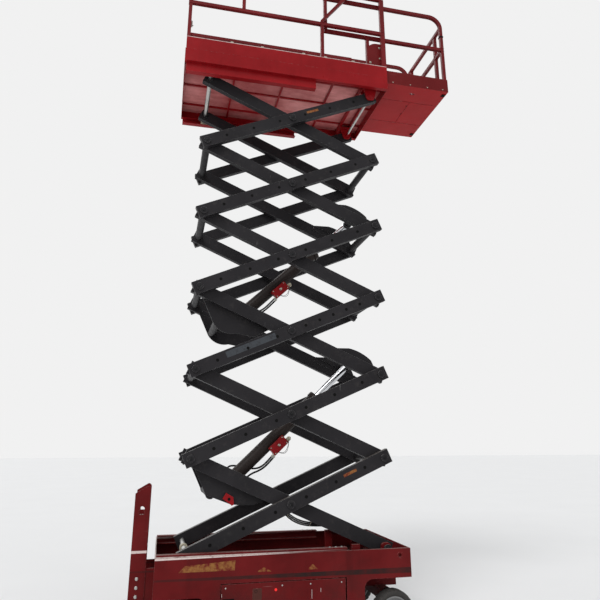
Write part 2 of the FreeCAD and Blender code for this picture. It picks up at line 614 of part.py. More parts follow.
def lift_cylinder(which, level):
    """One hydraulic cylinder: its barrel, its rod drawn out to the upper pin, and its valve block."""
    gland = ("barrel_length - gland_length", "barrel_length")
    barrel = fuse([round_bar("x", "barrel_radius", ("barrel_foot - barrel_wall", "barrel_length")),
                   round_bar("x", "gland_radius", gland),
                   round_bar("x", "barrel_neck", ("0", "barrel_foot")),
                   round_bar("y", "eye_radius", ("-eye_half", "eye_half"))])
    holes = [round_bar("x", "barrel_radius - barrel_wall", ("barrel_foot", gland[0])),
             round_bar("x", "rod_radius + pin_play", (f"{gland[0]} - weld", "barrel_length + weld")),
             round_bar("y", "eye_pin + pin_play", ("-eye_half - weld", "eye_half + weld"))]
    back = "(arm_half + barrel_pin_back)"
    x = f"right_pin - {back} * cos(fold_angle) - barrel_pin_drop * sin(fold_angle)"
    z = (f"low_pin + {level - 1} * level_rise + {back} * sin(fold_angle)"
         " - barrel_pin_drop * cos(fold_angle)")
    spot = {"x": x, "z": z, "turn": "-cylinder_angle"}
    node(f"lift_barrel_{which}", [cut(barrel, holes)], **spot)
    rod = [round_bar("x", "rod_radius", ("cylinder_length - rod_length", "cylinder_length")),
           round_bar("y", "eye_radius", ("-eye_half", "eye_half"), x="cylinder_length"),
           round_bar("y", "eye_pin", ("-eye_half - pin_head / 2", "eye_half + pin_head / 2"),
                     x="cylinder_length")]
    node(f"lift_rod_{which}", rod, **spot)
    near = "(barrel_radius + 2 * weld)"
    end = "valve_start + valve_length"
    block = box(("valve_start", end), (f"-{near} - valve_width", f"-{near}"),
                ("-valve_top - valve_depth", "-valve_top"))
    feet = [box((start, f"{start} + 2 * valve_foot"), (f"-{near} - weld", "-barrel_radius / 2"),
                ("-valve_top - valve_foot", "-valve_top"))
            for start in ("valve_start + valve_foot", f"{end} - 3 * valve_foot")]
    seat = round_bar("x", "barrel_radius + seat", ("valve_start - weld", f"{end} + weld"))
    coil = round_bar("x", "coil_radius", (f"{end} - weld", f"{end} + coil_length"),
                     y=f"-{near} - valve_width / 2", z="-valve_top - valve_depth + coil_radius + air")
    node(f"valve_block_{which}", [cut(fuse([block, coil] + feet), [seat])], **spot)


def slider_blocks(name, level_z, roller=False):
    """The nylon blocks that carry a sliding shaft in its channels, and the roller at its middle."""
    block = box(("-block_length / 2", "block_length / 2"), ("block_inside", "block_inside + block_width"),
                ("-track_height / 2", "track_height / 2"))
    bore = round_bar("y", "pin_bore", ("block_inside - weld", "channel_face"))
    pieces = both(cut(block, [bore]))
    if roller:
        half = "roller_width / 2"
        drum = round_bar("y", "roller_radius", (f"-{half}", half))
        pieces.append(cut(drum, [round_bar("y", "pin_bore", (f"-{half} - weld", f"{half} + weld"))]))
    node(name, pieces, x="left_pin", z=level_z, joined=False)


def slider_channels(name, level_z, rear, front, rise):
    """The pair of channels that guide the slider blocks."""
    flange_y = ("flange_inside", "channel_face + weld")
    web = box((rear, front), ("channel_face", "channel_face + track_wall"),
              ("-channel_half - track_wall", f"channel_half + track_wall + {rise}"))
    low = box((rear, front), flange_y, ("-channel_half - track_wall", "-channel_half"))
    high = box((rear, front), flange_y, ("channel_half", "channel_half + track_wall"))
    node(name, both(fuse([web, low, high])), z=level_z, joined=False)


ARCH_FRONT = "(-rear_axle + rear_arch_half)"
ARCH_REAR = "(-rear_axle - rear_arch_half)"


def side_plate():
    """One chassis side: band, wheel arches, tie-down hole, and the opening that a tray door closes."""
    outline = (("-chassis_rear", "tail_bottom"), (ARCH_REAR, "tail_bottom"),
               (ARCH_REAR, "rear_arch_top - arch_corner", "-arch_corner"),
               (f"{ARCH_REAR} + arch_corner", "rear_arch_top"),
               (f"{ARCH_FRONT} - arch_corner", "rear_arch_top", "-arch_corner"),
               (ARCH_FRONT, "rear_arch_top - arch_corner"), (ARCH_FRONT, "sill_bottom"),
               ("-door_rear", "sill_bottom"), ("-door_rear", "door_top + door_gap"),
               ("door_front", "door_top + door_gap"), ("door_front", "sill_bottom"),
               ("front_arch", "sill_bottom"), ("front_arch", "band_bottom - arch_corner", "-arch_corner"),
               ("front_arch + arch_corner", "band_bottom"), ("chassis_front", "band_bottom"),
               ("chassis_front", "rim_top"), ("-chassis_rear", "rim_top"))
    side = plate(outline, ("chassis_half - side_wall", "chassis_half"))
    hole = round_bar("y", "lashing_radius", ("chassis_half - rim_lip", "chassis_half + weld"),
                     x="lashing_x", z="lashing_z")
    return cut(side, [hole])


def chassis_shell():
    """Sides, rims, ends, trough floor, keel box, sills and cross plates of the chassis."""
    length = ("-chassis_rear", "chassis_front")
    keel = ("-chassis_rear", "front_arch")
    sill = (ARCH_FRONT, "front_arch")
    across = ("-chassis_half + weld", "chassis_half - weld")
    under_shelf = "shelf_top - weld"
    keel_side = ("keel_half - side_wall", "keel_half")
    keel_across = ("-keel_half + weld", "keel_half - weld")
    edge = "chassis_half - weld"
    pieces = both(side_plate())
    pieces += both(box(length, ("chassis_half - rim_lip", edge), ("rim_top - side_wall", "rim_top")))
    pieces.append(box(("chassis_front - side_wall", "chassis_front"), across, ("band_bottom", "rim_top")))
    pieces.append(box(("-chassis_rear", "-chassis_rear + side_wall"), across, ("tail_bottom", "rim_top")))
    pieces.append(box(length, across, ("shelf_top - side_wall", "shelf_top")))
    pieces += both(box(keel, keel_side, ("keel_bottom", under_shelf)))
    pieces += both(box(length, keel_side, ("axle_top - side_wall", under_shelf)))
    pieces.append(box(keel, keel_across, ("keel_bottom", "keel_bottom + side_wall")))
    pieces.append(box(("front_arch - side_wall", "front_arch"), keel_across, ("keel_bottom", under_shelf)))
    pieces += both(box(sill, ("chassis_half - sill_depth", edge),
                       ("sill_bottom", "sill_bottom + sill_height")))
    for x in ("-rib_rear", "rib_front"):
        pieces += both(box((x, f"{x} + rib_thick"), ("keel_half - weld", edge), ("rib_bottom", under_shelf)))
    return pieces


def pin_lugs():
    """Lugs that hold the lowest fixed pins, arm rest pads, and blocks behind the slider channels."""
    foot, head = "shelf_top - weld", "low_pin + lug_rise"
    shoulder = "low_pin + lug_rise - arm_wall - 2 * air"
    lug = plate((("right_pin - lug_foot", foot), ("right_pin + lug_foot", foot),
                 ("right_pin + lug_head", shoulder), ("right_pin + lug_crown", head),
                 ("right_pin - lug_crown", head), ("right_pin - lug_head", shoulder)),
                ("inner_face + air", "inner_face + air + lug_thick"))
    bore = round_bar("y", "pin_bore", ("inner_face", "outer_face"), x="right_pin", z="low_pin")
    pieces = both(cut(lug, [bore]))
    pieces += both(box(("rest_front - rest_length", "rest_front"),
                       ("outer_face - air - rest_thick", "outer_face - air"), (foot, "rest_top")))
    for x in ("-chassis_rear + side_wall / 2", "track_front / 2"):
        pieces += both(box((x, f"{x} + track_height"), ("channel_face + track_wall", "chassis_half - weld"),
                           ("low_pin - track_height", "low_pin - 2 * air")))
    return pieces


def tray_hinges():
    """Hinge plates and pins that the swing-out trays turn on."""
    pieces = both(box(("hinge_x - sill_height", "door_front + sill_height"),
                      ("chassis_half - sill_depth", "chassis_half - weld"),
                      ("sill_bottom + sill_height - weld", "door_bottom - air")))
    for span in (("sill_bottom + sill_height", "tray_floor + hinge_grip - air"),
                 ("door_top - hinge_grip - air", "shelf_top - weld")):
        pieces += both(round_bar("z", "hinge_radius", span, x="hinge_x", y="hinge_y"))
    return pieces


def axles():
    """The front axle beam with its kingpin sleeves, and the rear drive motors with their spindles."""
    beam = box(("front_axle - axle_half", "front_axle + axle_half"), ("-kingpin_side", "kingpin_side"),
               ("axle_bottom", "axle_top"))
    spot = {"x": "front_axle", "y": "kingpin_side"}
    sleeve_z = ("axle_bottom - sleeve_lip", "axle_top + sleeve_lip")
    sleeves = both(round_bar("z", "sleeve_radius", sleeve_z, **spot))
    bores = both(round_bar("z", "kingpin_radius + pin_play",
                           ("axle_bottom - 2 * sleeve_lip", "axle_top + 2 * sleeve_lip"), **spot))
    rear = {"x": "-rear_axle", "z": "tyre_radius"}
    motor_end = "wheel_inside - motor_room"
    motor = round_bar("y", "motor_radius", ("keel_half - weld", motor_end), **rear)
    spindle = round_bar("y", "spindle_radius",
                        (f"{motor_end} - weld", "chassis_half - spindle_inset"), **rear)
    return [cut(fuse([beam] + sleeves), bores)] + both(motor) + both(spindle)


GUARD_SPAN = ("guard_rear + guard_end", "front_arch - guard_end")


def guard_hangers():
    """Hanger plates under the sills, which the pothole guards turn in."""
    pieces = []
    for x in ("guard_rear + hanger_room", "front_arch - hanger_room - hanger_thick"):
        ear = box((x, f"{x} + hanger_thick"), ("guard_y - hanger_half", "guard_y + hanger_half"),
                  ("guard_axis - hanger_half + hanger_room", "sill_bottom + weld"))
        hole = round_bar("x", "guard_pin + pin_play", (f"{x} - weld", f"{x} + hanger_thick + weld"),
                         y="guard_y", z="guard_axis")
        pieces += both(cut(ear, [hole]))
    return pieces


def chassis():
    """The welded chassis with everything that is fixed to it."""
    node("chassis_frame", chassis_shell() + pin_lugs() + tray_hinges() + axles() + guard_hangers())


def tray(name, side, content):
    """One swing-out tray with its door, and the heavy block that it carries."""
    x = ("-tray_box_rear", "tray_half_front")
    inside = "keel_half + tray_room"
    y = (inside, "chassis_half - tray_wall + weld")
    low = "tray_floor + tray_wall"
    rise = ("tray_floor", "tray_rise")
    floor = box(x, y, ("tray_floor", low))
    back = box(x, (inside, f"{inside} + tray_wall"), rise)
    ends = [box((end, f"{end} + tray_wall"), y, rise)
            for end in ("-tray_box_rear", "tray_half_front - tray_wall - load_inset")]
    door = box(("-tray_half_rear", "tray_half_front"), ("chassis_half - tray_wall", "chassis_half"),
               ("door_bottom", "door_top"))
    boss = box(("hinge_x - load_inset", "tray_half_front - weld"),
               ("hinge_y - hinge_grip", "chassis_half - weld"), ("tray_floor", "door_top - weld"))
    bores = [round_bar("z", "hinge_radius + pin_play", span, x="hinge_x", y="hinge_y")
             for span in (("door_bottom - weld", "tray_floor + hinge_grip"),
                          ("door_top - hinge_grip - 2 * air", "door_top + weld"))]
    shell = cut(fuse([floor, back, door, boss] + ends), bores)
    block = box(("-tray_box_rear + load_inset", "load_front"),
                (f"{inside} + load_inset", "chassis_half - load_side"), (low, "load_top"))
    if side < 0:
        shell, block = mirrored(shell), mirrored(block)
    node(f"tray_{name}", [shell])
    node(content, [block])


def wheel(name, x, side):
    """One solid tyre and its rim, turning on a fixed spindle."""
    half = "tyre_width / 2"
    seat_y = f"{half} - rim_inset"
    tyre = turned((("rim_radius", f"-({seat_y})"), ("tyre_radius - tyre_shoulder", f"-{half}"),
                   ("tyre_radius", f"-{half} + tyre_crown"), ("tyre_radius", f"{half} - tyre_crown"),
                   ("tyre_radius - tyre_shoulder", half), ("rim_radius", seat_y)))
    bore = "spindle_radius + pin_play"
    inner_rim = "rim_radius - rim_wall"
    rim = turned(((bore, "-hub_half"), ("hub_radius", "-hub_half"), ("hub_radius", "dish_in - dish_thick"),
                  (inner_rim, "dish_out - dish_thick"), (inner_rim, f"-({seat_y})"),
                  ("rim_radius", f"-({seat_y})"), ("rim_radius", seat_y), (inner_rim, seat_y),
                  (inner_rim, "dish_out"), ("hub_radius", "dish_in"), ("hub_radius", "hub_half"),
                  (bore, "hub_half")))
    y = f"{side} * (chassis_half - {half})"
    if side < 0:
        tyre, rim = mirrored(tyre), mirrored(rim)
    node(f"tyre_{name}", [tyre], x=x, y=y, z="tyre_radius")
    node(f"rim_{name}", [rim], x=x, y=y, z="tyre_radius")


def knuckle(name, side):
    """One steering knuckle: kingpin, block under the sleeve, spindle, steering arm and its pin."""
    above = "axle_top + sleeve_lip + seat"
    kingpin = round_bar("z", "kingpin_radius", ("tyre_radius", f"{above} + weld"), y="kingpin_side")
    cap = round_bar("z", "kingpin_radius + kingpin_head", (above, f"{above} + cap_thick"), y="kingpin_side")
    block = box(("-knuckle_half", "knuckle_half"),
                ("kingpin_side - knuckle_in", "kingpin_side + knuckle_out"),
                ("knuckle_bottom", "axle_bottom - sleeve_lip - seat"))
    spindle = round_bar("y", "spindle_radius",
                        ("kingpin_side", "chassis_half - spindle_inset"), z="tyre_radius")
    arm = box(("-tie_arm - tie_half", "0"), ("kingpin_side - tie_half", "kingpin_side + tie_half"),
              ("knuckle_bottom", "knuckle_bottom + tie_thick"))
    pin = round_bar("z", "tie_pin", ("tie_bottom + weld", "knuckle_bottom + weld"), x="-tie_arm",
                    y="kingpin_side")
    piece = fuse([kingpin, cap, block, spindle, arm, pin])
    node(f"knuckle_{name}", [piece if side > 0 else mirrored(piece)], x="front_axle")


def tie_rod():
    """The rod that joins the two steering arms from below, so that both wheels steer together."""
    span = ("tie_bottom", "tie_bottom + tie_eye")
    bar = round_bar("y", "tie_radius", ("-kingpin_side", "kingpin_side"), z="tie_bottom + tie_eye / 2")
    eyes = both(round_bar("z", "tie_half", span, y="kingpin_side"))
    bores = both(round_bar("z", "tie_pin + pin_play", (f"{span[0]} - weld", f"{span[1]} + weld"),
                           y="kingpin_side"))
    node("tie_rod", [cut(fuse([bar] + eyes), bores)], x="front_axle - tie_arm")


def guard(name, side):
    """One pothole guard: a bar under the tray that hangs down while the lift is raised."""
    leaf_y = ("guard_y - guard_tube / 2", "guard_y + guard_tube / 2")
    leaf = box(GUARD_SPAN, leaf_y, ("guard_bottom + weld", "guard_axis"))
    tube = round_bar("x", "guard_tube", GUARD_SPAN, y="guard_y", z="guard_axis")
    foot = box(GUARD_SPAN, ("guard_y - guard_foot", leaf_y[1]), ("guard_bottom", "guard_bottom + guard_tube"))
    pin = round_bar("x", "guard_pin", ("guard_rear + weld", "front_arch - weld"), y="guard_y", z="guard_axis")
    piece = fuse([leaf, tube, foot, pin])
    node(f"pothole_guard_{name}", [piece if side > 0 else mirrored(piece)])


def ladder():
    """The access ladder at the rear end: two flat stringers, four treads, two brackets."""
    outline = (("-ladder_rear", "ladder_foot"), ("-ladder_front", "ladder_foot"),
               ("-ladder_front", "ladder_top - ladder_nose", "ladder_nose"),
               ("-ladder_front - ladder_nose", "ladder_top"), ("-ladder_rear", "ladder_top - ladder_slope"))
    stringer = plate(outline, ("ladder_half - ladder_wall", "ladder_half"))
    grip_half = "((ladder_rear - ladder_front) / 2 - grip_inset)"
    grip_x = "-(ladder_rear + ladder_front) / 2"
    hole_y = ("ladder_half - 2 * ladder_wall", "ladder_half + weld")
    grip_top = f"grip_bottom + grip_height - {grip_half}"
    grip_span = (f"{grip_x} - {grip_half}", f"{grip_x} + {grip_half}")
    grip = fuse([box(grip_span, hole_y, ("grip_bottom", grip_top)),
                 round_bar("y", grip_half, hole_y, x=grip_x, z=grip_top)])
    pieces = both(cut(stringer, [grip]))
    for step in range(4):
        z = f"rung_top - {step} * rung_pitch"
        pieces.append(box(("-ladder_rear + rung_inset", "-ladder_front - rung_inset"),
                          ("-ladder_half + weld", "ladder_half - weld"), (f"{z} - rung_thick", z)))
    brace_y = ("ladder_half - ladder_wall - brace_thick", "ladder_half - ladder_wall + weld")
    pieces += both(box(("-ladder_front - rung_inset", "-chassis_rear"), brace_y,
                       ("brace_bottom", "brace_top")))
    node("ladder", pieces)


def pin_brackets():
    """The platform's brackets on both sides of the outer arms, with the fixed pins and cross rod."""
    foot = "bearer_low + air"
    low, shoulder = "-deck_rise - bracket_drop", "-deck_rise - bracket_drop + arm_wall + air"
    outline = (("right_pin - bracket_foot", foot), ("right_pin - lug_head", shoulder),
               ("right_pin - lug_crown", low), ("right_pin + lug_crown", low),
               ("right_pin + lug_head", shoulder), ("right_pin + bracket_foot", foot))
    inner = "outer_inside - air - bracket_thick"
    outer = "outer_face + air + bracket_thick"
    pieces = both(plate(outline, (inner, "outer_inside - air")))
    pieces += both(plate(outline, ("outer_face + air", outer)))
    pieces += both(box(("right_pin - bearer_half", "right_pin + bearer_half"),
                       (f"{inner} - air", "deck_half - weld"), ("bearer_low", "bearer_high")))
    pin = {"x": "right_pin", "z": "-deck_rise"}
    pieces += both(round_bar("y", "pin_radius", (f"{inner} + weld", f"{outer} + cap_thick"), **pin))
    pieces.append(round_bar("y", "cross_rod", (f"-({inner}) - 2 * weld", f"{inner} + 2 * weld"), **pin))
    return pieces


def platform():
    """The platform: side channels, floor sheet with its ribs, slide strips and arm brackets."""
    rise = ("0", "band_height")
    length = ("-deck_rear", "deck_front")
    edge = "deck_half - weld"
    across = (f"-({edge})", edge)
    pieces = both(box(length, ("deck_half - deck_sheet", "deck_half"), rise))
    pieces += both(box(length, ("deck_half - band_lip", edge), ("0", "deck_sheet")))
    pieces.append(box(("-deck_rear", "-deck_rear + deck_sheet"), across, rise))
    pieces.append(box(("deck_front - deck_sheet", "deck_front"), across, ("0", "deck_floor")))
    pieces.append(box(length, across, ("deck_floor - deck_sheet", "deck_floor")))
    rib_z = ("deck_floor - deck_sheet - seam_depth", "deck_floor - weld")
    for y in ("-seam_side", "0", "seam_side"):
        pieces.append(box(length, (f"{y} - seam_width / 2", f"{y} + seam_width / 2"), rib_z))
    for step in range(3):
        x = f"-seam_x + {step} * seam_pitch"
        pieces.append(box((f"{x} - seam_width / 2", f"{x} + seam_width / 2"), across, rib_z))
    for x in ("right_pin - carrier_rear", "right_pin + carrier_front"):
        pieces.append(box((x, f"{x} + seam_width"), across, ("bearer_high - weld", "deck_floor - weld")))
    pieces += both(box(("-runner_rear", "deck_front - 2 * air"),
                       ("nose_half - runner_room - runner_width", "nose_half - runner_room"),
                       ("deck_floor - weld", "nose_rise - seat")))
    node("platform_deck", pieces + pin_brackets(), z="deck_z")


def toe_boards():
    """The upright boards that carry the platform's side up, flush with its band."""
    board = box(("-deck_rear + deck_sheet + seat", "deck_front"), ("deck_half - deck_sheet", "deck_half"),
                ("band_height + seat", "toe_top"))
    node("toe_boards", both(board), z="deck_z", joined=False)


def tube_along(axis, span, other, height, length="rail_size"):
    """A square guard rail tube along X, Y or Z about its centre line; a post may be longer along the lift."""
    about = {"x": (f"{other} - {length} / 2", f"{other} + {length} / 2"),
             "y": (f"{other} - rail_size / 2", f"{other} + rail_size / 2"),
             "z": (f"{height} - rail_size / 2", f"{height} + rail_size / 2")}
    if axis == "x":
        return box(span, about["y"], about["z"])
    if axis == "y":
        return box(about["x"], span, about["z"])
    lateral = (f"{height} - rail_size / 2", f"{height} + rail_size / 2")
    return box(about["x"], lateral, span)


GATE_HINGES = ("gate_hinge_low", "gate_hinge_high")


def guard_rails():
    """The platform's guard rails: posts, middle and top rails on both sides, and the gate's posts."""
    half = "rail_size / 2"
    rear = f"-rail_end - {half}"
    front = "deck_front - front_post / 2"
    pieces = both(tube_along("z", ("deck_floor", "top_rail"), "-rail_end", "rail_side"))
    pieces += both(tube_along("z", ("mid_rail", "top_rail"), "-upper_post", "rail_side"))
    pieces += both(tube_along("z", ("deck_floor", "bend_height"), "bent_post", "rail_side"))
    pieces += both(tube_along("z", ("deck_floor", "top_rail"), f"({front})", "rail_side", "front_post"))
    for z in ("mid_rail", "top_rail"):
        pieces += both(tube_along("x", (rear, f"{front} + weld"), "rail_side", z))
        pieces += both(tube_along("y", ("gate_width / 2 + gate_gap", "rail_side"), "-rail_end", z))
    lean = plate(((f"bent_post - {half}", "bend_height - weld"),
                  (f"bent_post + {half}", "bend_height - weld"),
                  ("bent_post + bend_run + bend_half", "top_rail"),
                  ("bent_post + bend_run - bend_half", "top_rail")),
                 (f"rail_side - {half}", f"rail_side + {half}"))
    pieces += both(lean)
    pieces += both(tube_along("z", ("deck_floor", "top_rail"), "-rail_end", "post_side"))
    for z in GATE_HINGES:
        leaf = (z, f"{z} + gate_leaf")
        pieces.append(box(("gate_hinge_x - gate_tip", "gate_hinge_x + gate_tip"),
                          ("gate_hinge_y - gate_tip", "gate_hinge_y + 2 * gate_tip"), leaf))
        pieces.append(box((f"-rail_end + {half} - weld", "gate_hinge_x"),
                          ("gate_hinge_y + gate_tip", "gate_hinge_y + 2 * gate_tip"), leaf))
        pieces.append(round_bar("z", "gate_pin", (f"{z} + weld", f"{z} + gate_leaf + gate_span + gate_tip"),
                                x="gate_hinge_x", y="gate_hinge_y"))
    node("guard_rails", pieces, z="deck_z")


def gate():
    """The entry gate at the ladder end, hung on one of the middle posts and opening inwards."""
    half = "rail_size / 2"
    low, high = "-gate_width / 2", "gate_width / 2 - 2 * weld"
    pieces = [tube_along("y", (low, high), "-rail_end", z) for z in ("gate_low", "mid_rail", "top_rail")]
    for at in (f"{low} + {half}", f"{high} - {half}"):
        pieces.append(tube_along("z", (f"gate_low - {half}", "top_rail"), "-rail_end", at))
    for z in GATE_HINGES:
        span = (f"{z} + gate_leaf + seat", f"{z} + gate_leaf + gate_span")
        eye = round_bar("z", "gate_eye", span, x="gate_hinge_x", y="gate_hinge_y")
        link = box((f"-rail_end + {half} - 2 * weld", "gate_hinge_x"),
                   ("gate_hinge_y - gate_eye", "gate_hinge_y - weld"), span)
        bore = round_bar("z", "gate_pin + pin_play", (z, f"{span[1]} + weld"),
                         x="gate_hinge_x", y="gate_hinge_y")
        pieces.append(cut(fuse([eye, link]), [bore]))
    node("entry_gate", pieces, z="deck_z")


def nose_deck():
    """The roll-out extension deck: sides, grooved floor sheet, front plate and upright corner plates."""
    x = ("nose_rear", "nose_front")
    side_y = ("nose_half - deck_sheet", "nose_half")
    across = ("-nose_half + weld", "nose_half - weld")
    low, high = "nose_rise", "nose_rise + nose_depth"
    groove_z = (f"{low} - weld", f"{low} + groove_depth")
    half = "groove_width / 2"
    grooves = both(box(x, (f"groove_side - {half}", f"groove_side + {half}"), groove_z))
    grooves.append(box((f"groove_x - {half}", f"groove_x + {half}"),
                       ("-groove_side", "groove_side"), groove_z))
    slot_z = (f"{low} - weld", f"{low} + deck_sheet + weld")
    grooves.append(box(("slot_x - slot_half", "slot_x + slot_half"),
                       ("-slot_side - slot_radius", "-slot_side + slot_radius"), slot_z))
    for end in ("slot_x - slot_half", "slot_x + slot_half"):
        grooves.append(round_bar("z", "slot_radius", slot_z, x=end, y="-slot_side"))
    floor = cut(box(x, across, (low, f"{low} + deck_sheet")), grooves)
    shield = plate((("shield_rear", f"{high} - weld"), ("shield_front", f"{high} - weld"),
                    ("shield_front", "shield_top"),
                     ("shield_rear + shield_round", "shield_top", "shield_round"),
                    ("shield_rear", "shield_top - shield_round")), side_y)
    front = box(("nose_front - deck_sheet", "nose_front"), across, (low, high))
    node("extension_deck", [floor, front] + both(box(x, side_y, (low, high))) + both(shield), z="deck_z")


def nose_rails():
    """The extension's guard rails, running inside the platform's own, bent down into the front posts."""
    half = "rail_size / 2"
    bend = "nose_rail_front - rail_bend"
    turn = "nose_top_rail - rail_bend"
    elbow = plate(((f"nose_rail_front + {half}", f"{turn} - weld"),
                   (f"nose_rail_front + {half}", turn, f"rail_bend + {half}"),
                   (bend, f"nose_top_rail + {half}"), (f"{bend} - weld", f"nose_top_rail + {half}"),
                   (f"{bend} - weld", f"nose_top_rail - {half}"),
                   (bend, f"nose_top_rail - {half}", f"-(rail_bend - {half})"),
                   (f"nose_rail_front - {half}", turn), (f"nose_rail_front - {half}", f"{turn} - weld")),
                  (f"nose_rail_side - {half}", f"nose_rail_side + {half}"))
    foot = "nose_rise + deck_sheet"
    pieces = both(elbow)
    pieces += both(tube_along("z", (foot, turn), "nose_rail_front", "nose_rail_side"))
    pieces += both(tube_along("z", (foot, turn), "nose_rail_front", "nose_post"))
    pieces += both(tube_along("x", ("nose_rail_rear", bend), "nose_rail_side", "nose_top_rail"))
    pieces += both(tube_along("x", ("nose_rail_rear", "nose_rail_front"), "nose_rail_side", "nose_mid_rail"))
    pieces += both(tube_along("z", ("nose_mid_rail", "nose_top_rail"), f"(nose_rail_rear + {half})",
                              "nose_rail_side"))
    pieces += both(tube_along("z", (foot, "nose_mid_rail"), f"(shield_rear + {half})", "nose_rail_side"))
    for z in ("nose_mid_rail", turn):
        pieces.append(tube_along("y", ("-nose_rail_side", "nose_rail_side"), "nose_rail_front", f"({z})"))
    node("extension_rails", pieces, z="deck_z")


for level in range(1, 7):
    inner_arms(level)
    outer_arms(level)
slide_shaft("slide_shaft_low", "low_pin")
slide_shaft("slide_shaft_high", "top_pin")
slider_blocks("slider_blocks_low", "low_pin", roller=True)
slider_blocks("slider_blocks_high", "top_pin")
slider_channels("slider_channels_low", "low_pin", "-chassis_rear + side_wall", "track_front", "0")
slider_channels("slider_channels_high", "top_pin", "-deck_rear + high_track_rear", "high_track_front",
                "deck_rise - channel_half - track_wall")
lift_cylinder(1, 1)
lift_cylinder(2, 3)
chassis()
tray("left", 1, "battery_pack")
tray("right", -1, "hydraulic_unit")
for axle, x in (("front", "front_axle"), ("rear", "-rear_axle")):
    wheel(axle + "_left", x, 1)
    wheel(axle + "_right", x, -1)
knuckle("left", 1)
knuckle("right", -1)
tie_rod()
guard("left", 1)
guard("right", -1)
ladder()
platform()
toe_boards()
guard_rails()
gate()
nose_deck()
nose_rails()

doc.recompute()
for item in doc.Objects:
    if "Invalid" in item.State or "Error" in item.State:
        raise RuntimeError(f"{item.Label} did not build")
os.makedirs("parts", exist_ok=True)
for item in NODES:
    if item.Shape.isNull() or not item.Shape.isValid() or not item.Shape.Solids:
        raise RuntimeError(f"{item.Label} has no valid shape")
    item.Shape.exportStep(f"parts/{item.Label}.step")
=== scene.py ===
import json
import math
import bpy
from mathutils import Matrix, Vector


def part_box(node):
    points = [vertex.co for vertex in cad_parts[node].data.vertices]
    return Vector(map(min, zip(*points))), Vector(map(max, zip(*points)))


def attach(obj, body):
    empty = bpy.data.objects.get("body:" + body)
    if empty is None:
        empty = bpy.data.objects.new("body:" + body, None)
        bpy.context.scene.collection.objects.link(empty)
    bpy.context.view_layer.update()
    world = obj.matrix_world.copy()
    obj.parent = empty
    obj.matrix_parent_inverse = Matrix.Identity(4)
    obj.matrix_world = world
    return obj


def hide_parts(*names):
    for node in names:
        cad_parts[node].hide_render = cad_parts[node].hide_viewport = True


bl_info = {
    "name": "Scissor Lift Dressing",
    "version": (1, 1, 0),
    "blender": (4, 5, 0),
    "location": "View3D > Sidebar > Lift",
    "description": "Finishes, small parts, hoses, tyres and studio for a half-raised scissor lift",
    "category": "Object",
}

import bpy
import numpy as np
from bpy.props import FloatProperty, FloatVectorProperty, PointerProperty
from bpy.types import Operator, Panel, PropertyGroup
from mathutils import Vector
from mathutils.bvhtree import BVHTree

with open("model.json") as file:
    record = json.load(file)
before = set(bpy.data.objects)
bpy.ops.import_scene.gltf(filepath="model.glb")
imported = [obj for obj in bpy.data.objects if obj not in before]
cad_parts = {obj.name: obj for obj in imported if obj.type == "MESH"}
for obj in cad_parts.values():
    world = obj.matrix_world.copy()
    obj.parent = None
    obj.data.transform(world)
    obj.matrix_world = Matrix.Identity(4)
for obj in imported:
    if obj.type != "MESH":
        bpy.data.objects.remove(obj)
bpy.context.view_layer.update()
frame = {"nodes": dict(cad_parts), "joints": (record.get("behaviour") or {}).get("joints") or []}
JOINTS = {joint["name"]: joint for joint in frame["joints"]}

LEVELS = range(1, 7)
CORNERS = ("front_left", "front_right", "rear_left", "rear_right")
AHEAD, NEAR, UP, DOWN = (1, 0, 0), (0, -1, 0), (0, 0, 1), (0, 0, -1)

# Driving places, in metres. Lengths along the lift are measured from the chassis datum, which lies
# behind the fixed pins by the amount below; every piece is shifted to the frame when it is put down.
FIXED_PIN_X = 0.921
LOW_PIN_Z = JOINTS["lift"]["pos_m"][2]
DATUM_X = JOINTS["lift"]["pos_m"][0] - FIXED_PIN_X
ARM_SLOPE = math.radians(23.5)
ARM_LENGTH = 2.010
ARM_HALF = ARM_LENGTH / 2
LEVEL_RISE = ARM_LENGTH * math.sin(ARM_SLOPE)
OUTER_FACE = 0.480
INNER_FACE = 0.348
CAP_FACE = 0.493
GUSSET_FACE = 0.343
GUSSET_EDGE = 0.3455
GUSSET_TUBE_END = 0.3305
BARREL_PIN = (-0.589, -0.150)
CYLINDER_SLOPE = math.radians(43.125)
CHASSIS_SIDE = 0.595
DECK_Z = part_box("toe_boards")[0].z - 0.1503
DECK_FLOOR = DECK_Z + 0.118
MID_RAIL = DECK_Z + 0.772
TOP_RAIL = DECK_Z + 1.270
NOSE_LOW = DECK_Z + 0.127
NOSE_SIDE = 0.540
NOSE_MID_RAIL = DECK_Z + 0.740
NOSE_TOP_RAIL = DECK_Z + 1.210
END_POST_X = 1.8867
RAIL_SIDE = 0.5717
NOSE_RAIL_SIDE = 0.512
RAIL_HALF = 0.019
LABEL_SUNK = 0.0004
LABEL_PROUD = 0.0005


def tint(name, about, default):
    """A colour property with its plain description."""
    return FloatVectorProperty(name=name, description=about, subtype="COLOR", size=3,
                               default=default, min=0.0, max=1.0)


def part(name, about, default):
    """A share between none and all."""
    return FloatProperty(name=name, description=about, subtype="FACTOR", default=default, min=0.0, max=1.0)


def size(name, about, default, most=0.2):
    """A length property in metres."""
    return FloatProperty(name=name, description=about, unit="LENGTH", default=default, min=0.0002, max=most)


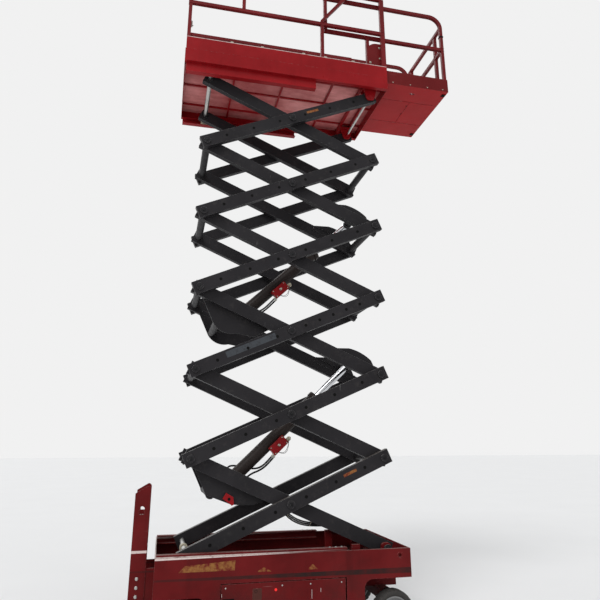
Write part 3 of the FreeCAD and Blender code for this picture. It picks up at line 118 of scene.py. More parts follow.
class LiftPaint(PropertyGroup):
    """Colours of the lift's finishes."""
    red: tint("Red enamel", "Platform and small red parts", (0.27, 0.005, 0.008))
    # The chassis red is a darker copy of the red enamel: partly older, dirtier paint and partly painted
    # shade.
    shade: tint("Chassis red", "Older, dirtier enamel of the chassis and the ladder", (0.128, 0.0045, 0.0055))
    # Painted shade and light of the extension: its upright faces take a darker copy of the red, its underside
    # a lighter one.
    nose: tint("Extension's sides", "Shaded red of the extension's upright faces", (0.135, 0.006, 0.007))
    belly: tint("Extension's underside", "Brighter red of the extension's underside", (0.34, 0.008, 0.010))
    primer: tint("Worn edge", "What shows where enamel has rubbed through", (0.30, 0.13, 0.12))
    rails: tint("Rail red", "Guard rails and gate", (0.155, 0.010, 0.012))
    # Painted reflection: the pale colour of the platform's underside stands in for light reflected up onto
    # it.
    glare: tint("Pale underside", "The platform's pale, chalky underside", (0.78, 0.30, 0.29))
    # Bleached paint of the door scratches and the chassis rim, and painted light on the toe boards: a painted
    # highlight along their top edge and a painted reflection on their inner faces.
    bloom: tint("Bleached edge", "Top edges of the toe boards and of the chassis rim", (0.74, 0.62, 0.59))
    arms: tint("Arm enamel", "Scissor arms, gussets and slider channels", (0.021, 0.0195, 0.0215))
    steel: tint("Bare steel", "Rubbed edges of the arms, and sliding shafts", (0.34, 0.34, 0.34))
    barrel: tint("Barrel enamel", "Lift cylinder barrels", (0.026, 0.019, 0.017))
    rubber: tint("Tyre rubber", "Solid tyres", (0.030, 0.029, 0.028))
    rim: tint("Rim enamel", "Wheel rims", (0.20, 0.20, 0.20))
    nylon: tint("Nylon", "Slider blocks and rollers", (0.62, 0.56, 0.42))
    black: tint("Black enamel", "Knuckles, tie rod, guards and the trays' loads", (0.012, 0.012, 0.013))
    dust: tint("Dust", "Pale site dust in corners and on flat tops", (0.22, 0.19, 0.17))
    label: tint("Bare label", "Blank labels, worn ochre", (0.30, 0.135, 0.035))
    wear: part("Wear", "How much enamel is rubbed off the edges", 0.5)


class LiftSizes(PropertyGroup):
    """Sizes of the small parts."""
    hose: size("Frame hose", "Diameter of the hoses along the lowest arm", 0.014)
    feed: size("Cylinder hose", "Diameter of the hoses at the lift cylinders", 0.018)
    bead: size("Weld bead", "Radius of the weld beads", 0.004, 0.01)
    bolt: size("Bolt", "Radius of a bolt head", 0.011, 0.03)
    # The arm plugs are near-black discs over the arms' holes: painted shade of the holes.
    plug: size("Arm plug", "Radius of the plugs along the arms", 0.012, 0.03)
    tread: size("Tread pitch", "Spacing of the deck's raised lozenges", 0.036)


class LiftStudio(PropertyGroup):
    """Camera and light of the studio."""
    eye: FloatVectorProperty(name="Camera place", description="Where the picture was taken from",
                             subtype="TRANSLATION", size=3, default=(-1.4553, -5.85, 1.6506))
    yaw: FloatProperty(name="Turn", description="Camera's turn towards the lift's front", subtype="ANGLE",
                       default=math.radians(13.35))
    pitch: FloatProperty(name="Tilt", description="Camera's tilt above the horizon", subtype="ANGLE",
                         default=math.radians(16.54))
    lens: FloatProperty(name="Lens", description="Focal length in millimetres",
                        default=33.70, min=10, max=200)
    shift: FloatProperty(name="Vertical shift", description="Picture's shift, as a share of its height",
                         default=-0.0421, min=-0.5, max=0.5)
    floor: tint("Floor", "The pale studio floor", (0.80, 0.80, 0.80))
    key: FloatProperty(name="Key light", description="Strength of the soft sun", default=1.5, min=0)
    back: FloatProperty(name="Back light", description="Strength of the soft sun from behind",
                        default=0.5, min=0)
    sky: FloatProperty(name="Sky", description="Strength of the soft light from all round",
                       default=0.60, min=0)


# Shaders

class Sheet:
    """A material's node tree, with short names for the nodes that the finishes share."""

    def __init__(self, name):
        """A Principled shader, and the coordinates of the object itself for its patterns."""
        self.material = bpy.data.materials.new(name)
        self.material.use_nodes = True
        self.tree = self.material.node_tree
        self.tree.nodes.clear()
        out = self.add("ShaderNodeOutputMaterial")
        self.shader = self.add("ShaderNodeBsdfPrincipled")
        self.link(self.shader.outputs[0], out.inputs[0])
        self.place = self.add("ShaderNodeTexCoord").outputs["Object"]

    def add(self, kind, **settings):
        """A new node with these settings."""
        made = self.tree.nodes.new(kind)
        for key, value in settings.items():
            setattr(made, key, value)
        return made

    def link(self, start, end):
        """Join an output to an input."""
        self.tree.links.new(start, end)

    def feed(self, socket, value):
        """Set an input, or link it if the value is another node's output."""
        if isinstance(value, bpy.types.NodeSocket):
            self.link(value, socket)
        elif hasattr(value, "__len__"):
            socket.default_value = tuple(value) + ((1.0,) if len(socket.default_value) > len(value) else ())
        else:
            socket.default_value = value

    def set(self, name, value):
        """Feed one input of the shader."""
        self.feed(self.shader.inputs[name], value)

    def stretched(self, scale):
        """Object coordinates stretched by three factors."""
        node = self.add("ShaderNodeMapping")
        self.link(self.place, node.inputs["Vector"])
        node.inputs["Scale"].default_value = scale
        return node.outputs[0]

    def noise(self, scale, detail, rough, at=None):
        """Cloudy noise with features of about 1/scale metres."""
        node = self.add("ShaderNodeTexNoise")
        self.link(self.place if at is None else at, node.inputs["Vector"])
        for key, value in (("Scale", scale), ("Detail", detail), ("Roughness", rough)):
            node.inputs[key].default_value = value
        return node.outputs["Fac"]

    def ramp(self, value, low, high, start=0.0, end=1.0):
        """A value mapped in a straight line, from low..high to start..end, and held at the ends."""
        node = self.add("ShaderNodeMapRange")
        node.clamp = True
        self.link(value, node.inputs["Value"])
        for key, number in (("From Min", low), ("From Max", high), ("To Min", start), ("To Max", end)):
            node.inputs[key].default_value = number
        return node.outputs[0]

    def clouds(self, scale, detail, rough, low, high, start=0.0, end=1.0, at=None):
        """Cloudy noise, mapped from low..high to start..end."""
        return self.ramp(self.noise(scale, detail, rough, at), low, high, start, end)

    def math(self, operation, a, b=0.0):
        """One operation on two values."""
        node = self.add("ShaderNodeMath", operation=operation)
        self.feed(node.inputs[0], a)
        self.feed(node.inputs[1], b)
        return node.outputs[0]

    def times(self, *values):
        """The product of several values."""
        total = values[0]
        for value in values[1:]:
            total = self.math("MULTIPLY", total, value)
        return total

    def mix(self, factor, a, b):
        """One colour over another."""
        node = self.add("ShaderNodeMix", data_type="RGBA")
        self.feed(node.inputs["Factor"], factor)
        self.feed(node.inputs[6], a)
        self.feed(node.inputs[7], b)
        return node.outputs[2]

    def split(self, vector):
        """The three parts of a vector."""
        node = self.add("ShaderNodeSeparateXYZ")
        self.link(vector, node.inputs[0])
        return node.outputs

    def facing(self):
        """The three parts of the surface's true direction."""
        return self.split(self.add("ShaderNodeNewGeometry").outputs["Normal"])

    def softened(self, radius):
        """The surface's direction with its edges rounded by a radius."""
        node = self.add("ShaderNodeBevel", samples=4)
        node.inputs["Radius"].default_value = radius
        return node.outputs[0]

    def edges(self, radius, low=0.004, high=0.05):
        """1 near a sharp edge and 0 on a flat: how far a rounded normal leaves the true one."""
        soft = self.softened(radius)
        true = self.add("ShaderNodeNewGeometry")
        dot = self.add("ShaderNodeVectorMath", operation="DOT_PRODUCT")
        self.link(soft, dot.inputs[0])
        self.link(true.outputs["Normal"], dot.inputs[1])
        return self.ramp(self.math("SUBTRACT", 1.0, dot.outputs["Value"]), low, high)

    def bump(self, height, strength, distance, rounded=0.0):
        """Relief from a height, over edges that look rounded by a radius."""
        node = self.add("ShaderNodeBump")
        node.inputs["Strength"].default_value = strength
        node.inputs["Distance"].default_value = distance
        self.link(height, node.inputs["Height"])
        if rounded:
            self.link(self.softened(rounded), node.inputs["Normal"])
        self.link(node.outputs[0], self.shader.inputs["Normal"])


def shaded(colour, share, lift=0.0):
    """A colour times a share, plus a little."""
    return tuple(c * share + lift for c in colour)


def enamel(name, colour, paint, wear=None, under=None, gloss=0.36, dusty=0.30, cloudy=0.22, mask=None):
    """Gloss enamel: faded in clouds, streaked downwards, chipped at its edges and dusty on top."""
    wear = paint.wear if wear is None else wear
    under = paint.primer if under is None else under
    s = Sheet(name)
    faded = s.clouds(1.3, 5.0, 0.6, 0.35, 0.68)
    coat = s.mix(faded, shaded(colour, 1 - cloudy), shaded(colour, 1 + cloudy, 0.004))
    runs = s.clouds(1.0, 6.0, 0.65, 0.54, 0.74, 0.0, 1.6 * cloudy, s.stretched((9.0, 9.0, 0.8)))
    coat = s.mix(runs, coat, shaded(colour, 0.5))
    if mask:
        coat = mask(s, coat, paint)
    top = s.ramp(s.facing()["Z"], 0.55, 0.98)
    film = s.times(top, s.clouds(6.0, 8.0, 0.7, 0.30, 0.70, 0.2, 1.0), dusty)
    coat = s.mix(film, coat, paint.dust)
    chips = s.clouds(42.0, 6.0, 0.7, 0.62 - 0.22 * wear, 0.72 - 0.20 * wear)
    rubbed = s.times(s.edges(0.0035), chips)
    scuffs = s.clouds(1.0, 3.0, 0.5, 0.71, 0.74, 0.0, 0.4, s.stretched((5.0, 5.0, 95.0)))
    rubbed = s.math("MAXIMUM", rubbed, s.times(scuffs, s.clouds(2.6, 2.0, 0.55, 0.52, 0.62)))
    s.set("Base Color", s.mix(rubbed, coat, under))
    rough = s.clouds(9.0, 6.0, 0.7, 0.3, 0.75, gloss - 0.06, gloss + 0.14)
    s.set("Roughness", s.math("ADD", rough, s.times(film, 0.5)))
    s.set("Specular IOR Level", 0.12)
    peel = s.math("ADD", s.noise(140.0, 2.0, 0.55), s.times(rubbed, -1.5))
    s.bump(peel, 0.16, 0.0005, 0.002)


def chassis_marks(s, coat, paint):
    """The chassis: a dirty dark stripe along the sides, darker towards the bottom, and a bleached rim."""
    x, y, z = (s.split(s.place)[axis] for axis in "XYZ")
    side = s.ramp(s.math("ABSOLUTE", s.facing()["Y"]), 0.85, 0.95)
    rise = s.math("ADD", z, s.times(x, 0.0135))
    band = s.times(s.ramp(rise, 0.5235, 0.5275), s.ramp(z, 0.5590, 0.5625, 1.0, 0.0), side)
    worn = s.clouds(7.0, 8.0, 0.72, 0.34, 0.60, 0.55, 1.0)
    fade = s.ramp(x, -1.45, -0.30, 0.55, 0.95)
    coat = s.mix(s.times(band, worn, fade), coat, (0.020, 0.012, 0.011))
    # The sides darker towards the bottom.
    low_darkening = s.times(s.clouds(1.9, 6.0, 0.7, 0.46, 0.64), s.ramp(z, 0.22, 0.56, 0.75, 0.25), side)
    coat = s.mix(low_darkening, coat, (0.040, 0.011, 0.010))
    lean = s.math("ADD", z, s.times(x, -0.0115))
    rim = s.times(s.ramp(lean, 0.7196, 0.7222), s.ramp(z, 0.722, 0.726, 1.0, 0.0))
    rim = s.times(rim, s.ramp(x, -0.6, 0.4, 1.0, 0.35), s.clouds(15.0, 8.0, 0.7, 0.30, 0.46, 0.35, 1.0))
    return s.mix(rim, coat, paint.bloom)


def toe_bleach_and_glare(s, coat, paint):
    """The toe boards: an upper edge that is partly bleached paint and partly a painted highlight, and inner
    faces painted pale as a painted reflection.
    """
    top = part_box("toe_boards")[1].z
    y, z = s.split(s.place)["Y"], s.split(s.place)["Z"]
    inside = s.ramp(s.math("ABSOLUTE", y), 0.5912, 0.5918, 1.0, 0.0)
    glare_clouds = s.times(inside, s.clouds(3.0, 6.0, 0.7, 0.30, 0.62, 0.25, 0.75))
    coat = s.mix(glare_clouds, coat, paint.bloom)
    high = s.ramp(z, top - 0.009, top - 0.003)
    return s.mix(s.times(high, s.clouds(19.0, 6.0, 0.7, 0.30, 0.52, 0.25, 1.0)), coat, paint.bloom)


def deck_painted_glare(s, coat, paint):
    """The platform: its floor sheet's underside is painted pale between the ribs, a painted reflection in
    clouds and streaks.
    """
    z = s.split(s.place)["Z"]
    down = s.ramp(s.facing()["Z"], -0.98, -0.90, 1.0, 0.0)
    sheet = s.times(s.ramp(z, DECK_Z + 0.103, DECK_Z + 0.108), down)
    glare_clouds = s.clouds(1.5, 5.0, 0.62, 0.36, 0.62, 0.35, 1.0)
    glare_streaks = s.clouds(1.0, 6.0, 0.7, 0.40, 0.64, 0.6, 1.0, s.stretched((2.0, 9.0, 2.0)))
    return s.mix(s.times(sheet, glare_clouds, glare_streaks), coat, paint.glare)


def nose_painted_lit_underside(s, coat, paint):
    """The extension: painted light on its underside, a lighter copy of the red over the darker sides, varied
    in clouds.
    """
    down = s.ramp(s.facing()["Z"], -0.98, -0.90, 1.0, 0.0)
    # Clouds that vary the painted light of the underside.
    worn = s.clouds(2.2, 5.0, 0.62, 0.34, 0.60, 0.80, 1.0)
    return s.mix(s.times(down, worn), coat, paint.belly)


def arm_enamel(name, colour, steel, dust):
    """Satin dark enamel on the arms, rubbed to bright steel along their edges."""
    s = Sheet(name)
    faded = s.clouds(1.7, 6.0, 0.62, 0.35, 0.7)
    coat = s.mix(faded, shaded(colour, 0.82), shaded(colour, 1.22, 0.001))
    grime = s.clouds(16.0, 8.0, 0.72, 0.54, 0.74, 0.0, 0.22)
    coat = s.mix(grime, coat, shaded(dust, 0.35, 0.02))
    top = s.ramp(s.facing()["Z"], 0.5, 0.95)
    film = s.times(top, s.clouds(9.0, 6.0, 0.7, 0.32, 0.66, 0.10, 0.45))
    coat = s.mix(film, coat, dust)
    chips = s.clouds(34.0, 5.0, 0.7, 0.36, 0.56, 0.05, 0.85)
    rubbed = s.times(s.edges(0.003, 0.02, 0.12), chips)
    scratch = s.clouds(1.0, 3.0, 0.5, 0.72, 0.76, 0.0, 0.35, s.stretched((60.0, 12.0, 7.0)))
    rubbed = s.math("MAXIMUM", rubbed, s.times(scratch, s.clouds(3.1, 2.0, 0.55, 0.50, 0.62)))
    s.set("Base Color", s.mix(rubbed, coat, steel))
    s.set("Metallic", s.times(rubbed, 0.6))
    s.set("Roughness", s.clouds(11.0, 6.0, 0.7, 0.3, 0.75, 0.38, 0.56))
    s.set("Specular IOR Level", 0.10)
    s.bump(s.noise(110.0, 3.0, 0.55), 0.12, 0.0005, 0.003)


def bright_metal(name, colour, rough, grain, metallic=1.0):
    """Bare or chromed steel with fine rings and faint oil marks."""
    s = Sheet(name)
    marks = s.clouds(7.0, 4.0, 0.6, 0.46, 0.72, 0.0, 0.6)
    s.set("Base Color", s.mix(marks, colour, shaded(colour, 0.66)))
    s.set("Roughness", s.clouds(12.0, 4.0, 0.6, 0.3, 0.7, rough, rough + 0.10))
    s.set("Metallic", metallic)
    s.bump(s.noise(1.0, 2.0, 0.5, s.stretched((40.0, 200.0, 40.0))), grain, 0.0002)


def moulded(name, colour, dust, rough=0.6, dirt=0.4, scale=14.0, grain=0.4, shine=0.25, glow=0.0):
    """Rubber, nylon or another moulded stuff: matt, mottled and dirtied in clouds."""
    s = Sheet(name)
    coat = s.mix(s.clouds(scale, 7.0, 0.7, 0.38, 0.68, 0.0, dirt), colour, dust)
    spots = s.clouds(scale * 5.0, 4.0, 0.6, 0.55, 0.75, 0.0, 0.4)
    s.set("Base Color", s.mix(spots, coat, shaded(colour, 0.5)))
    s.set("Roughness", s.clouds(scale * 2.0, 5.0, 0.55, 0.3, 0.7, rough - 0.08, rough + 0.15))
    s.set("Specular IOR Level", shine)
    s.bump(s.noise(scale * 16.0, 3.0, 0.55), grain, 0.0006, 0.001)
    if glow:
        s.set("Emission Color", (1.0, 0.045, 0.035))
        s.set("Emission Strength", glow)


def worn_print(name, colour, carrier, low, high):
    """A thin blank label or bare patch, rubbed through in ragged islands to what carries it."""
    s = Sheet(name)
    lost = s.clouds(17.0, 9.0, 0.78, low, high)
    fine = s.clouds(90.0, 4.0, 0.7, 0.50, 0.70, 0.0, 0.45)
    s.set("Base Color", s.mix(s.math("MAXIMUM", lost, fine), colour, carrier))
    s.set("Roughness", s.clouds(25.0, 4.0, 0.55, 0.3, 0.7, 0.40, 0.62))
    s.set("Specular IOR Level", 0.20)
    s.bump(lost, 0.2, 0.0003)


def make_finishes(c):
    """Every finish of the lift."""
    dirt = shaded(c.dust, 0.5)
    enamel("Red_Enamel", c.red, c)
    enamel("Rail_Enamel", c.rails, c)
    # The platform's enamel, with a painted reflection on its underside.
    enamel("Deck_Enamel", c.red, c, gloss=0.30, mask=deck_painted_glare)
    # The extension's enamel: painted shade on its sides, painted light on its underside.
    enamel("Nose_Enamel", c.nose, c, cloudy=0.12, mask=nose_painted_lit_underside)
    enamel("Latch_Enamel", (0.072, 0.021, 0.016), c, 0.6)
    enamel("Bleached_Enamel", c.bloom, c, 0.3, c.shade)
    enamel("Toe_Enamel", c.red, c, mask=toe_bleach_and_glare)
    # The chassis enamel: its darker red is partly dirt and partly painted shade.
    enamel("Chassis_Enamel", c.shade, c, 0.75, gloss=0.42, dusty=0.5, cloudy=0.3, mask=chassis_marks)
    arm_enamel("Arm_Enamel", c.arms, c.steel, c.dust)
    enamel("Barrel_Enamel", c.barrel, c, 0.25, c.steel, gloss=0.42, dusty=0.25)
    enamel("Black_Enamel", c.black, c, 0.25, c.steel, gloss=0.45, dusty=0.3)
    enamel("Rim_Enamel", c.rim, c, 0.35, gloss=0.40, dusty=0.4)
    bright_metal("Hard_Chrome", (0.66, 0.67, 0.69), 0.07, 0.02)
    bright_metal("Bright_Steel", (0.50, 0.49, 0.47), 0.26, 0.10)
    bright_metal("Zinc_Fitting", (0.42, 0.40, 0.34), 0.34, 0.10, 0.85)
    moulded("Cream_Nylon", c.nylon, dirt, 0.5, 0.45)
    moulded("Tyre_Rubber", c.rubber, dirt, 0.72, 0.35, 9.0)
    moulded("Hose_Rubber", (0.011, 0.011, 0.012), (0.05, 0.045, 0.04), 0.5, 0.35, 30.0, 0.3)
    moulded("Dark_Plastic", (0.004, 0.004, 0.004), (0.020, 0.018, 0.016), 0.60, 0.20, 30.0, 0.2, 0.06)
    moulded("Red_Lens", (0.75, 0.020, 0.016), (0.10, 0.02, 0.02), 0.18, 0.10, 30.0, 0.05, glow=0.35)
    worn_print("Worn_Label", c.label, c.shade, 0.40, 0.58)
    worn_print("Bare_Patch", (0.052, 0.058, 0.066), c.arms, 0.50, 0.66)


# The CAD nodes of each finish.
FINISHED = {
    "Red_Enamel": ["valve_block_1", "valve_block_2"],
    "Deck_Enamel": ["platform_deck", "slider_channels_high"],
    "Nose_Enamel": ["extension_deck"],
    "Rail_Enamel": ["guard_rails", "entry_gate", "extension_rails"],
    "Toe_Enamel": ["toe_boards"],
    "Chassis_Enamel": ["chassis_frame", "slider_channels_low", "ladder", "tray_left", "tray_right"],
    "Arm_Enamel": [f"inner_arms_{k}" for k in LEVELS] + [f"outer_arms_{k}" for k in LEVELS],
    "Barrel_Enamel": ["lift_barrel_1", "lift_barrel_2"],
    "Hard_Chrome": ["lift_rod_1", "lift_rod_2"],
    "Bright_Steel": ["slide_shaft_low", "slide_shaft_high"],
    "Cream_Nylon": ["slider_blocks_low", "slider_blocks_high"],
    "Tyre_Rubber": ["tyre_" + corner for corner in CORNERS],
    "Rim_Enamel": ["rim_" + corner for corner in CORNERS],
    "Black_Enamel": ["knuckle_left", "knuckle_right", "tie_rod", "pothole_guard_left",
                     "pothole_guard_right", "battery_pack", "hydraulic_unit"],
}

# The slot of each finish; a label or a patch names its carrier's, and a lamp has none.
SLOTS = {
    "Red_Enamel": "red_paint", "Rail_Enamel": "red_paint", "Latch_Enamel": "red_paint",
    "Bleached_Enamel": "red_paint", "Chassis_Enamel": "red_paint", "Arm_Enamel": "arm_paint",
    "Barrel_Enamel": "barrel_paint", "Black_Enamel": "black_steel", "Dark_Plastic": "black_steel",
    "Rim_Enamel": "rim_paint", "Bright_Steel": "bright_steel", "Zinc_Fitting": "bright_steel",
    "Cream_Nylon": "nylon", "Tyre_Rubber": "tyre_rubber",
}


class LIFT_OT_finishes(Operator):
    """Makes the finishes and gives every CAD node its own"""
    bl_idname = "lift.finishes"
    bl_label = "Finishes"

    def execute(self, context):
        make_finishes(context.scene.lift_paint)
        for finish, names in FINISHED.items():
            for name in names:
                mesh = frame["nodes"][name].data
                mesh.materials.clear()
                mesh.materials.append(bpy.data.materials[finish])
        return {"FINISHED"}


# Shapes

class Shape:
    """Points as one array, and faces as arrays whose rows are equally long lists of point numbers."""

    def __init__(self, points, faces):
        self.points = np.asarray(points, float).reshape(-1, 3)
        self.faces = [np.asarray(rows) for rows in faces]

    def outward(self):
        """Turn the faces round if the volume that they enclose comes out negative."""
        volume = 0.0
        for rows in self.faces:
            corner = self.points[rows]
            normal = np.cross(corner[:, 1:-1], corner[:, 2:])
            volume += np.einsum("ik,ijk->", corner[:, 0], normal)
        if volume < 0:
            self.faces = [rows[:, ::-1] for rows in self.faces]
        return self

    def moved(self, place=(0.0, 0.0, 0.0), matrix=None):
        """The shape turned by a matrix and then moved."""
        points = self.points if matrix is None else self.points @ np.asarray(matrix, float).T
        return Shape(points + np.asarray(place, float), self.faces).outward()


def joined(shapes):
    """Several shapes as one, their faces renumbered by the points that come before them."""
    start = np.cumsum([0] + [len(shape.points) for shape in shapes])
    faces = [rows + first for shape, first in zip(shapes, start) for rows in shape.faces]
    return Shape(np.concatenate([shape.points for shape in shapes]), faces)


def repeated(shape, places):
    """A copy of the shape at each place: every place is added to every point."""
    places = np.asarray(places, float).reshape(-1, 3)
    points = (places[:, None, :] + shape.points[None]).reshape(-1, 3)
    step = np.arange(len(places))[:, None, None] * len(shape.points)
    faces = [(rows[None] + step).reshape(-1, rows.shape[1]) for rows in shape.faces]
    return Shape(points, faces)


def across(shape):
    """The shape mirrored to the lift's other side."""
    return shape.moved(matrix=np.diag((1.0, -1.0, 1.0)))


def both(shapes):
    """Each shape and its mirror image on the other side."""
    return [made for shape in shapes for made in (shape, across(shape))]


def skin(rings, closed=False):
    """Rings of points, each joined to the next by quads; flat ends, or the last ring joined to the first."""
    count, around = rings.shape[:2]
    number = np.arange(count * around).reshape(count, around)
    low = number if closed else number[:-1]
    high = np.roll(number, -1, 0) if closed else number[1:]
    quads = np.stack([low, np.roll(low, -1, 1), np.roll(high, -1, 1), high], -1).reshape(-1, 4)
    faces = [quads] if closed else [quads, number[:1, ::-1], number[-1:]]
    return Shape(rings, faces).outward()


def turned(profile, sides=24):
    """A profile of radius and height, turned about Z: each ring is the radius times a circle."""
    radius, height = np.asarray(profile, float).T
    angle = np.linspace(0.0, 2 * math.pi, sides, endpoint=False)
    rings = np.stack([radius[:, None] * np.cos(angle), radius[:, None] * np.sin(angle),
                      np.broadcast_to(height[:, None], (len(radius), sides))], -1)
    return skin(rings)


# Small turned parts: their sides, then radius and height of each ring from the foot upwards.
LATHED = {
    "stud end": (12, ((0.0055, 0.012), (0.0055, 0.0165), (0.004, 0.018))),
    "hub cap": (28, ((0.036, 0.0), (0.036, 0.006), (0.032, 0.010), (0.020, 0.0125), (0.006, 0.0132))),
    "stop eye": (20, ((0.0135, 0.0), (0.0135, 0.002), (0.009, 0.0025), (0.0085, 0.0012), (0.003, 0.0012))),
    "wiper": (40, ((0.062, -0.001), (0.062, 0.003), (0.056, 0.006), (0.0375, 0.0075), (0.0362, 0.003))),
    "port boss": (24, ((0.017, -0.006), (0.017, 0.012), (0.0155, 0.014))),
    "coil cap": (28, ((0.0212, 0.0), (0.0212, 0.034), (0.0195, 0.0385), (0.010, 0.0395))),
    "coil nut": (6, ((0.0105, 0.0), (0.0105, 0.008), (0.009, 0.010))),
    "cap screw": (14, ((0.0065, -0.001), (0.0065, 0.006), (0.0055, 0.007), (0.0032, 0.007),
                       (0.0030, 0.003))),
    "valve stem": (18, ((0.013, 0.0), (0.013, 0.010), (0.009, 0.012), (0.009, 0.022), (0.011, 0.024),
                        (0.011, 0.034), (0.009, 0.036))),
    "door lock": (24, ((0.0125, -0.0005), (0.0125, 0.0015), (0.0105, 0.0018), (0.0095, 0.0010),
                       (0.002, 0.0009))),
    "lamp lens": (28, ((0.0115, -0.0005), (0.0115, 0.0010), (0.0095, 0.0017), (0.005, 0.00195),
                       (0.002, 0.0020))),
    "grip stud": (8, ((0.0048, -0.001), (0.0044, 0.0018), (0.0026, 0.0022))),
    "round pad": (18, ((0.009, -0.0005), (0.009, 0.0004), (0.008, 0.0006))),
    "cell cap": (20, ((0.016, -0.001), (0.016, 0.006), (0.013, 0.009), (0.004, 0.0095))),
    "cell post": (16, ((0.009, -0.001), (0.008, 0.010), (0.006, 0.011))),
    "tank cap": (28, ((0.027, 0.0), (0.027, 0.009), (0.024, 0.0125), (0.008, 0.0135))),
    "union": (6, ((0.0115, 0.0), (0.0115, 0.008), (0.008, 0.0085), (0.008, 0.014), (0.006, 0.015))),
}


def lathed(kind):
    """One small turned part of the table, its foot at the origin and its axis up."""
    sides, profile = LATHED[kind]
    return turned(profile, sides)


def aimed(shape, direction, place):
    """The shape with its Z along a direction, moved to a place."""
    matrix = Vector(direction).to_track_quat("Z", "Y").to_matrix()
    return shape.moved(place, np.array(matrix))


def prism(outline, low, high, chamfer=0.0):
    """An outline in X and Z carried along Y from low to high, drawn in a little at the far end."""
    outline = np.asarray(outline, float)
    middle = outline.mean(0)
    reach = np.abs(outline - middle).max()
    steps = [(low, 1.0), (high - math.copysign(chamfer, high - low), 1.0), (high, 1.0 - chamfer / reach)]
    if not chamfer:
        steps = steps[::2]
    rings = [np.insert(middle + (outline - middle) * share, 1, y, axis=1) for y, share in steps]
    return skin(np.stack(rings))


def rounded(width, height, radius, x=0.0, z=0.0, steps=4):
    """A rectangle's outline with round corners: four quarter circles about the inner corners."""
    angle = np.linspace(0.0, math.pi / 2, steps)
    quarter = np.stack([np.cos(angle), np.sin(angle)], -1) * radius
    turns = [(1, 1, 1), (-1, 1, -1), (-1, -1, 1), (1, -1, -1)]
    corners = [(quarter * (sx, sz))[::order] + (sx * (width / 2 - radius), sz * (height / 2 - radius))
               for sx, sz, order in turns]
    return np.concatenate(corners) + (x, z)


def plate(x, y, z, radius, chamfer=0.0, steps=4):
    """A round-cornered rectangle between two x and two z, carried along Y between two y."""
    outline = rounded(x[1] - x[0], z[1] - z[0], radius, (x[0] + x[1]) / 2, (z[0] + z[1]) / 2, steps)
    return prism(outline, y[0], y[1], chamfer)


def block(x, y, z, chamfer=0.0):
    """A box between two x, two y and two z: a plate whose corners are all but sharp."""
    return plate(x, y, z, 0.0008, chamfer, 2)


def swept(path, radius, sides=8, closed=False):
    """A circle carried along a path, square to it: each ring is the path's point plus two side vectors."""
    path = np.asarray(path, float)
    along = (np.roll(path, -1, 0) - np.roll(path, 1, 0)) if closed else np.gradient(path, axis=0)
    along /= np.linalg.norm(along, axis=1, keepdims=True)
    guide = np.eye(3)[np.abs(along).max(0).argmin()]
    side = np.cross(along, guide)
    side /= np.linalg.norm(side, axis=1, keepdims=True)
    other = np.cross(along, side)
    angle = np.linspace(0.0, 2 * math.pi, sides, endpoint=False)
    radius = np.broadcast_to(np.asarray(radius, float), (len(path),))[:, None, None]
    rings = path[:, None] + radius * (np.cos(angle)[None, :, None] * side[:, None]
                                      + np.sin(angle)[None, :, None] * other[:, None])
    return skin(rings, closed)


def resampled(path, step):
    """The path's points again at even steps along its length."""
    path = np.asarray(path, float)
    reach = np.concatenate([[0.0], np.cumsum(np.linalg.norm(np.diff(path, axis=0), axis=1))])
    at = np.linspace(0.0, reach[-1], max(3, int(reach[-1] / step) + 1))
    return np.stack([np.interp(at, reach, path[:, axis]) for axis in range(3)], -1)


def bead(path, radius, closed=False):
    """A weld bead: a tube along the path whose radius swells and falls like a row of drops."""
    if closed:
        path = np.concatenate([path, path[:1]])
    spots = resampled(path, radius * 0.9)
    swell = 0.86 + 0.22 * np.abs(np.sin(np.arange(len(spots)) * 1.1))
    if closed:
        spots, swell = spots[:-1], swell[:-1]
    return swept(spots, radius * swell, 6, closed)


def ring_path(centre, radius, axis="y", count=28):
    """Points of a circle about an axis: the radius times cosine and sine of even angles."""
    angle = np.linspace(0.0, 2 * math.pi, count, endpoint=False)
    flat = np.stack([np.cos(angle), np.sin(angle)], -1) * radius
    return np.insert(flat, "xyz".index(axis), 0.0, axis=1) + np.asarray(centre, float)


def square_path(centre, half, axis="z"):
    """Corners of a square about an axis: half the side to each hand of the centre."""
    flat = np.array([(-1, -1), (1, -1), (1, 1), (-1, 1)], float) * half
    return np.insert(flat, "xyz".index(axis), 0.0, axis=1) + np.asarray(centre, float)


def post_beads(posts, half, radius):
    """Beads round square posts: for each x, y and heights of the table, one square at each height."""
    return [bead(square_path((x, y, z), half), radius, closed=True)
            for x, y, heights in posts for z in heights]


def bolt(radius, height, washer=1.45):
    """A hexagon head on its washer: a six-sided prism with a chamfered top over a thin disc."""
    flat = height * 0.25
    disc = turned([(radius * washer, 0.0), (radius * washer, flat * 0.7), (radius * washer * 0.94, flat)], 20)
    head = turned([(radius, flat), (radius, height * 0.88), (radius * 0.88, height)], 6)
    return joined([disc, head])


def button(radius, height):
    """A round head: a quarter wave turned about its middle."""
    angle = np.linspace(0.0, math.pi / 2 - 0.12, 5)
    profile = np.stack([radius * np.cos(angle), height * np.sin(angle)], -1)
    return turned(np.concatenate([[(radius, -height * 0.2)], profile]), 16)


def on_arm(shapes, level, inner=False):
    """Shapes drawn along, across and above an arm, laid on that level's arms."""
    slope = -ARM_SLOPE if inner else ARM_SLOPE
    c, s = math.cos(slope), math.sin(slope)
    middle = (FIXED_PIN_X - ARM_HALF * math.cos(ARM_SLOPE), 0.0, LOW_PIN_Z + (level - 0.5) * LEVEL_RISE)
    matrix = ((c, 0, -s), (0, 1, 0), (s, 0, c))
    return [shape.moved(middle, matrix) for shape in shapes]


